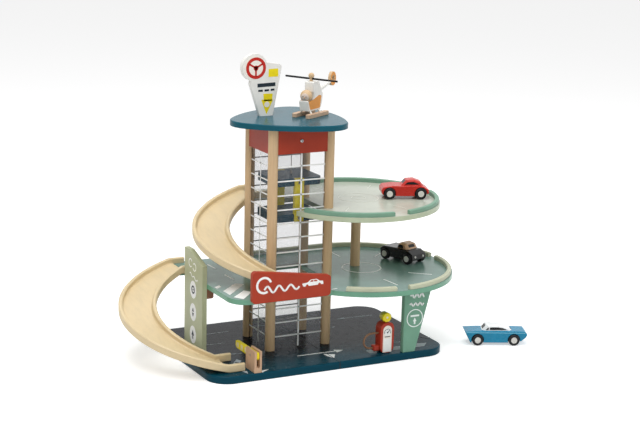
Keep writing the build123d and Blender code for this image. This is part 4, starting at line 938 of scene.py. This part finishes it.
tail_ring = middle("helicopter_tail_ring") / MM
ring_heading = Heading(tail_ring.x, tail_ring.y, tail_ring.z, HELI_HEADING)
RING_STEPS, RING_HALF = 40, 2.5
ring_outer = arc((0, 0), (8.0, 11.0), 0, 360, RING_STEPS)
ring_inner = arc((0, 0), (4.7, 6.5), 0, 360, RING_STEPS)
ring_quads = [[ring_outer[i], ring_outer[i + 1], ring_inner[i + 1], ring_inner[i]] for i in range(RING_STEPS)]
layers("helicopter_ring_paint", ring_heading.both(RING_HALF, ring_quads), ORANGE_INK, "helicopter")

# ------------------------------------------------------------ toy cars
cars = {
    "red_car": {
        "frame": Heading(202.0, -21.0, UPPER_TOP / MM + 0.2, 159.0), "wheelbase": 52.0,
        "windows": [rounded([(1.0, 24.2), (-4.2, 28.1), (-13.6, 28.6), (-21.0, 25.6), (-22.4, 24.2)], 0.8)],
        "windscreen": ((8, 20.5), (-2, 31)), "rear": ((-31, 20.5), (-26, 28)),
    },
    "black_car": {
        "frame": Heading(216.0, -1.0, LOWER_TOP / MM + 0.2, 108.0), "wheelbase": 50.0,
        "windows": [rounded([(0.4, 24.0), (-2.2, 28.9), (-6.6, 30.2), (-11.6, 29.4), (-13.0, 24.0)], 0.8)],
        "windscreen": ((4, 20.5), (0, 31.5)), "rear": ((-24, 20.5), (-16, 32)),
    },
    "blue_car": {
        "frame": Heading(330.5, -118.5, 0.2, 156.0), "wheelbase": 61.0,
        "windows": [rounded([(17.4, 25.8), (13.6, 29.9), (12.0, 30.0), (12.6, 25.8)], 0.6),
                    rounded([(10.6, 25.8), (10.2, 30.1), (-2.2, 30.5), (-11.8, 28.9), (-17.6, 26.8),
                             (-18.0, 25.8)], 0.9)],
        "windscreen": ((26, 21), (16, 33.5)), "rear": ((-31, 21), (-23, 28.5)),
    },
}
CAR_HALF, CABIN_HALF, WHEEL_R, HUB_FACE = 17.0, 13.5, 9.4, 19.6
GLASS_FOOT_HALF, GLASS_HEAD_HALF = 7.6, 6.8
GLASSES = {"windscreen": (True, 0.42, 0.90), "rear": (False, 0.48, 0.86)}    # faces ahead, foot, head
HUB_PROFILE = [(0, 0.34), (1.3, 0.3), (1.6, 0.12), (3.9, 0.12), (4.3, 0.3), (4.8, 0.25), (5.1, -0.1),
               (5.15, -0.85)]
LAMP_PROFILE = [(0, 1.0), (1.2, 0.8), (2.0, 0.2), (2.1, -0.8)]
for name, car in cars.items():
    place = car["frame"]
    layers(f"{name}_side_windows", place.both(CABIN_HALF, car["windows"]), GLASS_BLACK, name)
    for which, (forward, first, last) in GLASSES.items():
        foot, head = car[which]
        reach = math.hypot(head[0] - foot[0], head[1] - foot[1])
        glass = rounded([(-GLASS_FOOT_HALF, reach * first), (GLASS_FOOT_HALF, reach * first),
                         (GLASS_HEAD_HALF, reach * last), (-GLASS_HEAD_HALF, reach * last)], 1.0)
        layers(f"{name}_{which}_glass", place.slope(foot, head, [glass], forward), GLASS_BLACK, name)
    for end, sign in (("front", 1), ("rear", -1)):
        bm = bmesh.new()
        for way in (-1, 1):
            hub_middle = place.at(sign * car["wheelbase"] / 2, WHEEL_R, way * HUB_FACE)
            add_lathe(bm, hub_middle, place.side * way, HUB_PROFILE)
        finish_mesh(f"{name}_{end}_hubs", bm, HUB, f"{name}_{end}_axle", False)

blue = cars["blue_car"]["frame"]
stripe = bar((-49, 21.6), (50, 22.2), 1.1)
layers("blue_car_stripes", blue.both(CAR_HALF, [stripe]), PALE_BLUE_INK, "blue_car")
black = cars["black_car"]["frame"]
bm = bmesh.new()
for aside in (-9.5, 9.5):
    add_lathe(bm, black.at(-36.9, 13.0, aside), -black.ahead + Vector((0, 0, 0.25)), LAMP_PROFILE, 20)
finish_mesh("black_car_lamps", bm, HUB, "black_car", True)

# ------------------------------------------------------------ stage and light
FLOOR_GREY, FLOOR_GLOW, WORLD_LIGHT = 0.80, 0.48, 0.50


def background_rays(tree):
    """1 for the rays that show the surroundings themselves: camera, transmission and glossy rays."""
    rays = tree.nodes.new("ShaderNodeLightPath")
    seen = rays.outputs["Is Camera Ray"]
    for ray in ("Is Transmission Ray", "Is Glossy Ray"):
        either = tree.nodes.new("ShaderNodeMath")
        either.operation = "MAXIMUM"
        tree.links.new(seen, either.inputs[0])
        tree.links.new(rays.outputs[ray], either.inputs[1])
        seen = either.outputs[0]
    return seen


floor_mesh = bpy.data.meshes.new("studio_floor")
bm = bmesh.new()
bmesh.ops.create_grid(bm, x_segments=2, y_segments=2, size=12.0)
bm.to_mesh(floor_mesh)
bm.free()
floor = bpy.data.objects.new("studio_floor", floor_mesh)
bpy.context.scene.collection.objects.link(floor)
n = Nodes("studio_white")
n.shader.inputs["Base Color"].default_value = (FLOOR_GREY, FLOOR_GREY, FLOOR_GREY, 1.0)
n.shader.inputs["Roughness"].default_value = 0.7
n.shader.inputs["Specular IOR Level"].default_value = 0.0
glow = n.add("ShaderNodeEmission")
level = n.add("ShaderNodeMath", operation="MULTIPLY")
level.inputs[1].default_value = FLOOR_GLOW
n.link(background_rays(n.tree), level.inputs[0])
n.link(level.outputs[0], glow.inputs["Strength"])
total = n.add("ShaderNodeAddShader")
n.link(n.shader.outputs[0], total.inputs[0])
n.link(glow.outputs[0], total.inputs[1])
n.link(total.outputs[0], n.tree.nodes["Material Output"].inputs["Surface"])
floor_mesh.materials.append(n.material)

world = bpy.data.worlds.new("studio_world")
bpy.context.scene.world = world
world.use_nodes = True
tree = world.node_tree
sky = tree.nodes["Background"]
sky.inputs["Color"].default_value = (1, 1, 1, 1)
strength = tree.nodes.new("ShaderNodeMapRange")
strength.inputs["To Min"].default_value = WORLD_LIGHT
strength.inputs["To Max"].default_value = 1.0
tree.links.new(background_rays(tree), strength.inputs["Value"])
tree.links.new(strength.outputs[0], sky.inputs["Strength"])


def area_light(name, place, size, power):
    """Square lamp that looks at the middle of the toy; power is in watts."""
    data = bpy.data.lights.new(name, "AREA")
    data.size, data.energy = size, power
    obj = bpy.data.objects.new(name, data)
    bpy.context.scene.collection.objects.link(obj)
    obj.location = place
    obj.rotation_euler = (Vector((0, 0, 0.2)) - Vector(place)).to_track_quat("-Z", "Y").to_euler()


area_light("key_light", (-1.0, -1.1, 2.4), 1.4, 30)
area_light("fill_light", (1.8, -1.2, 1.2), 1.6, 9)
area_light("top_light", (0.1, 0.2, 2.2), 1.6, 20)
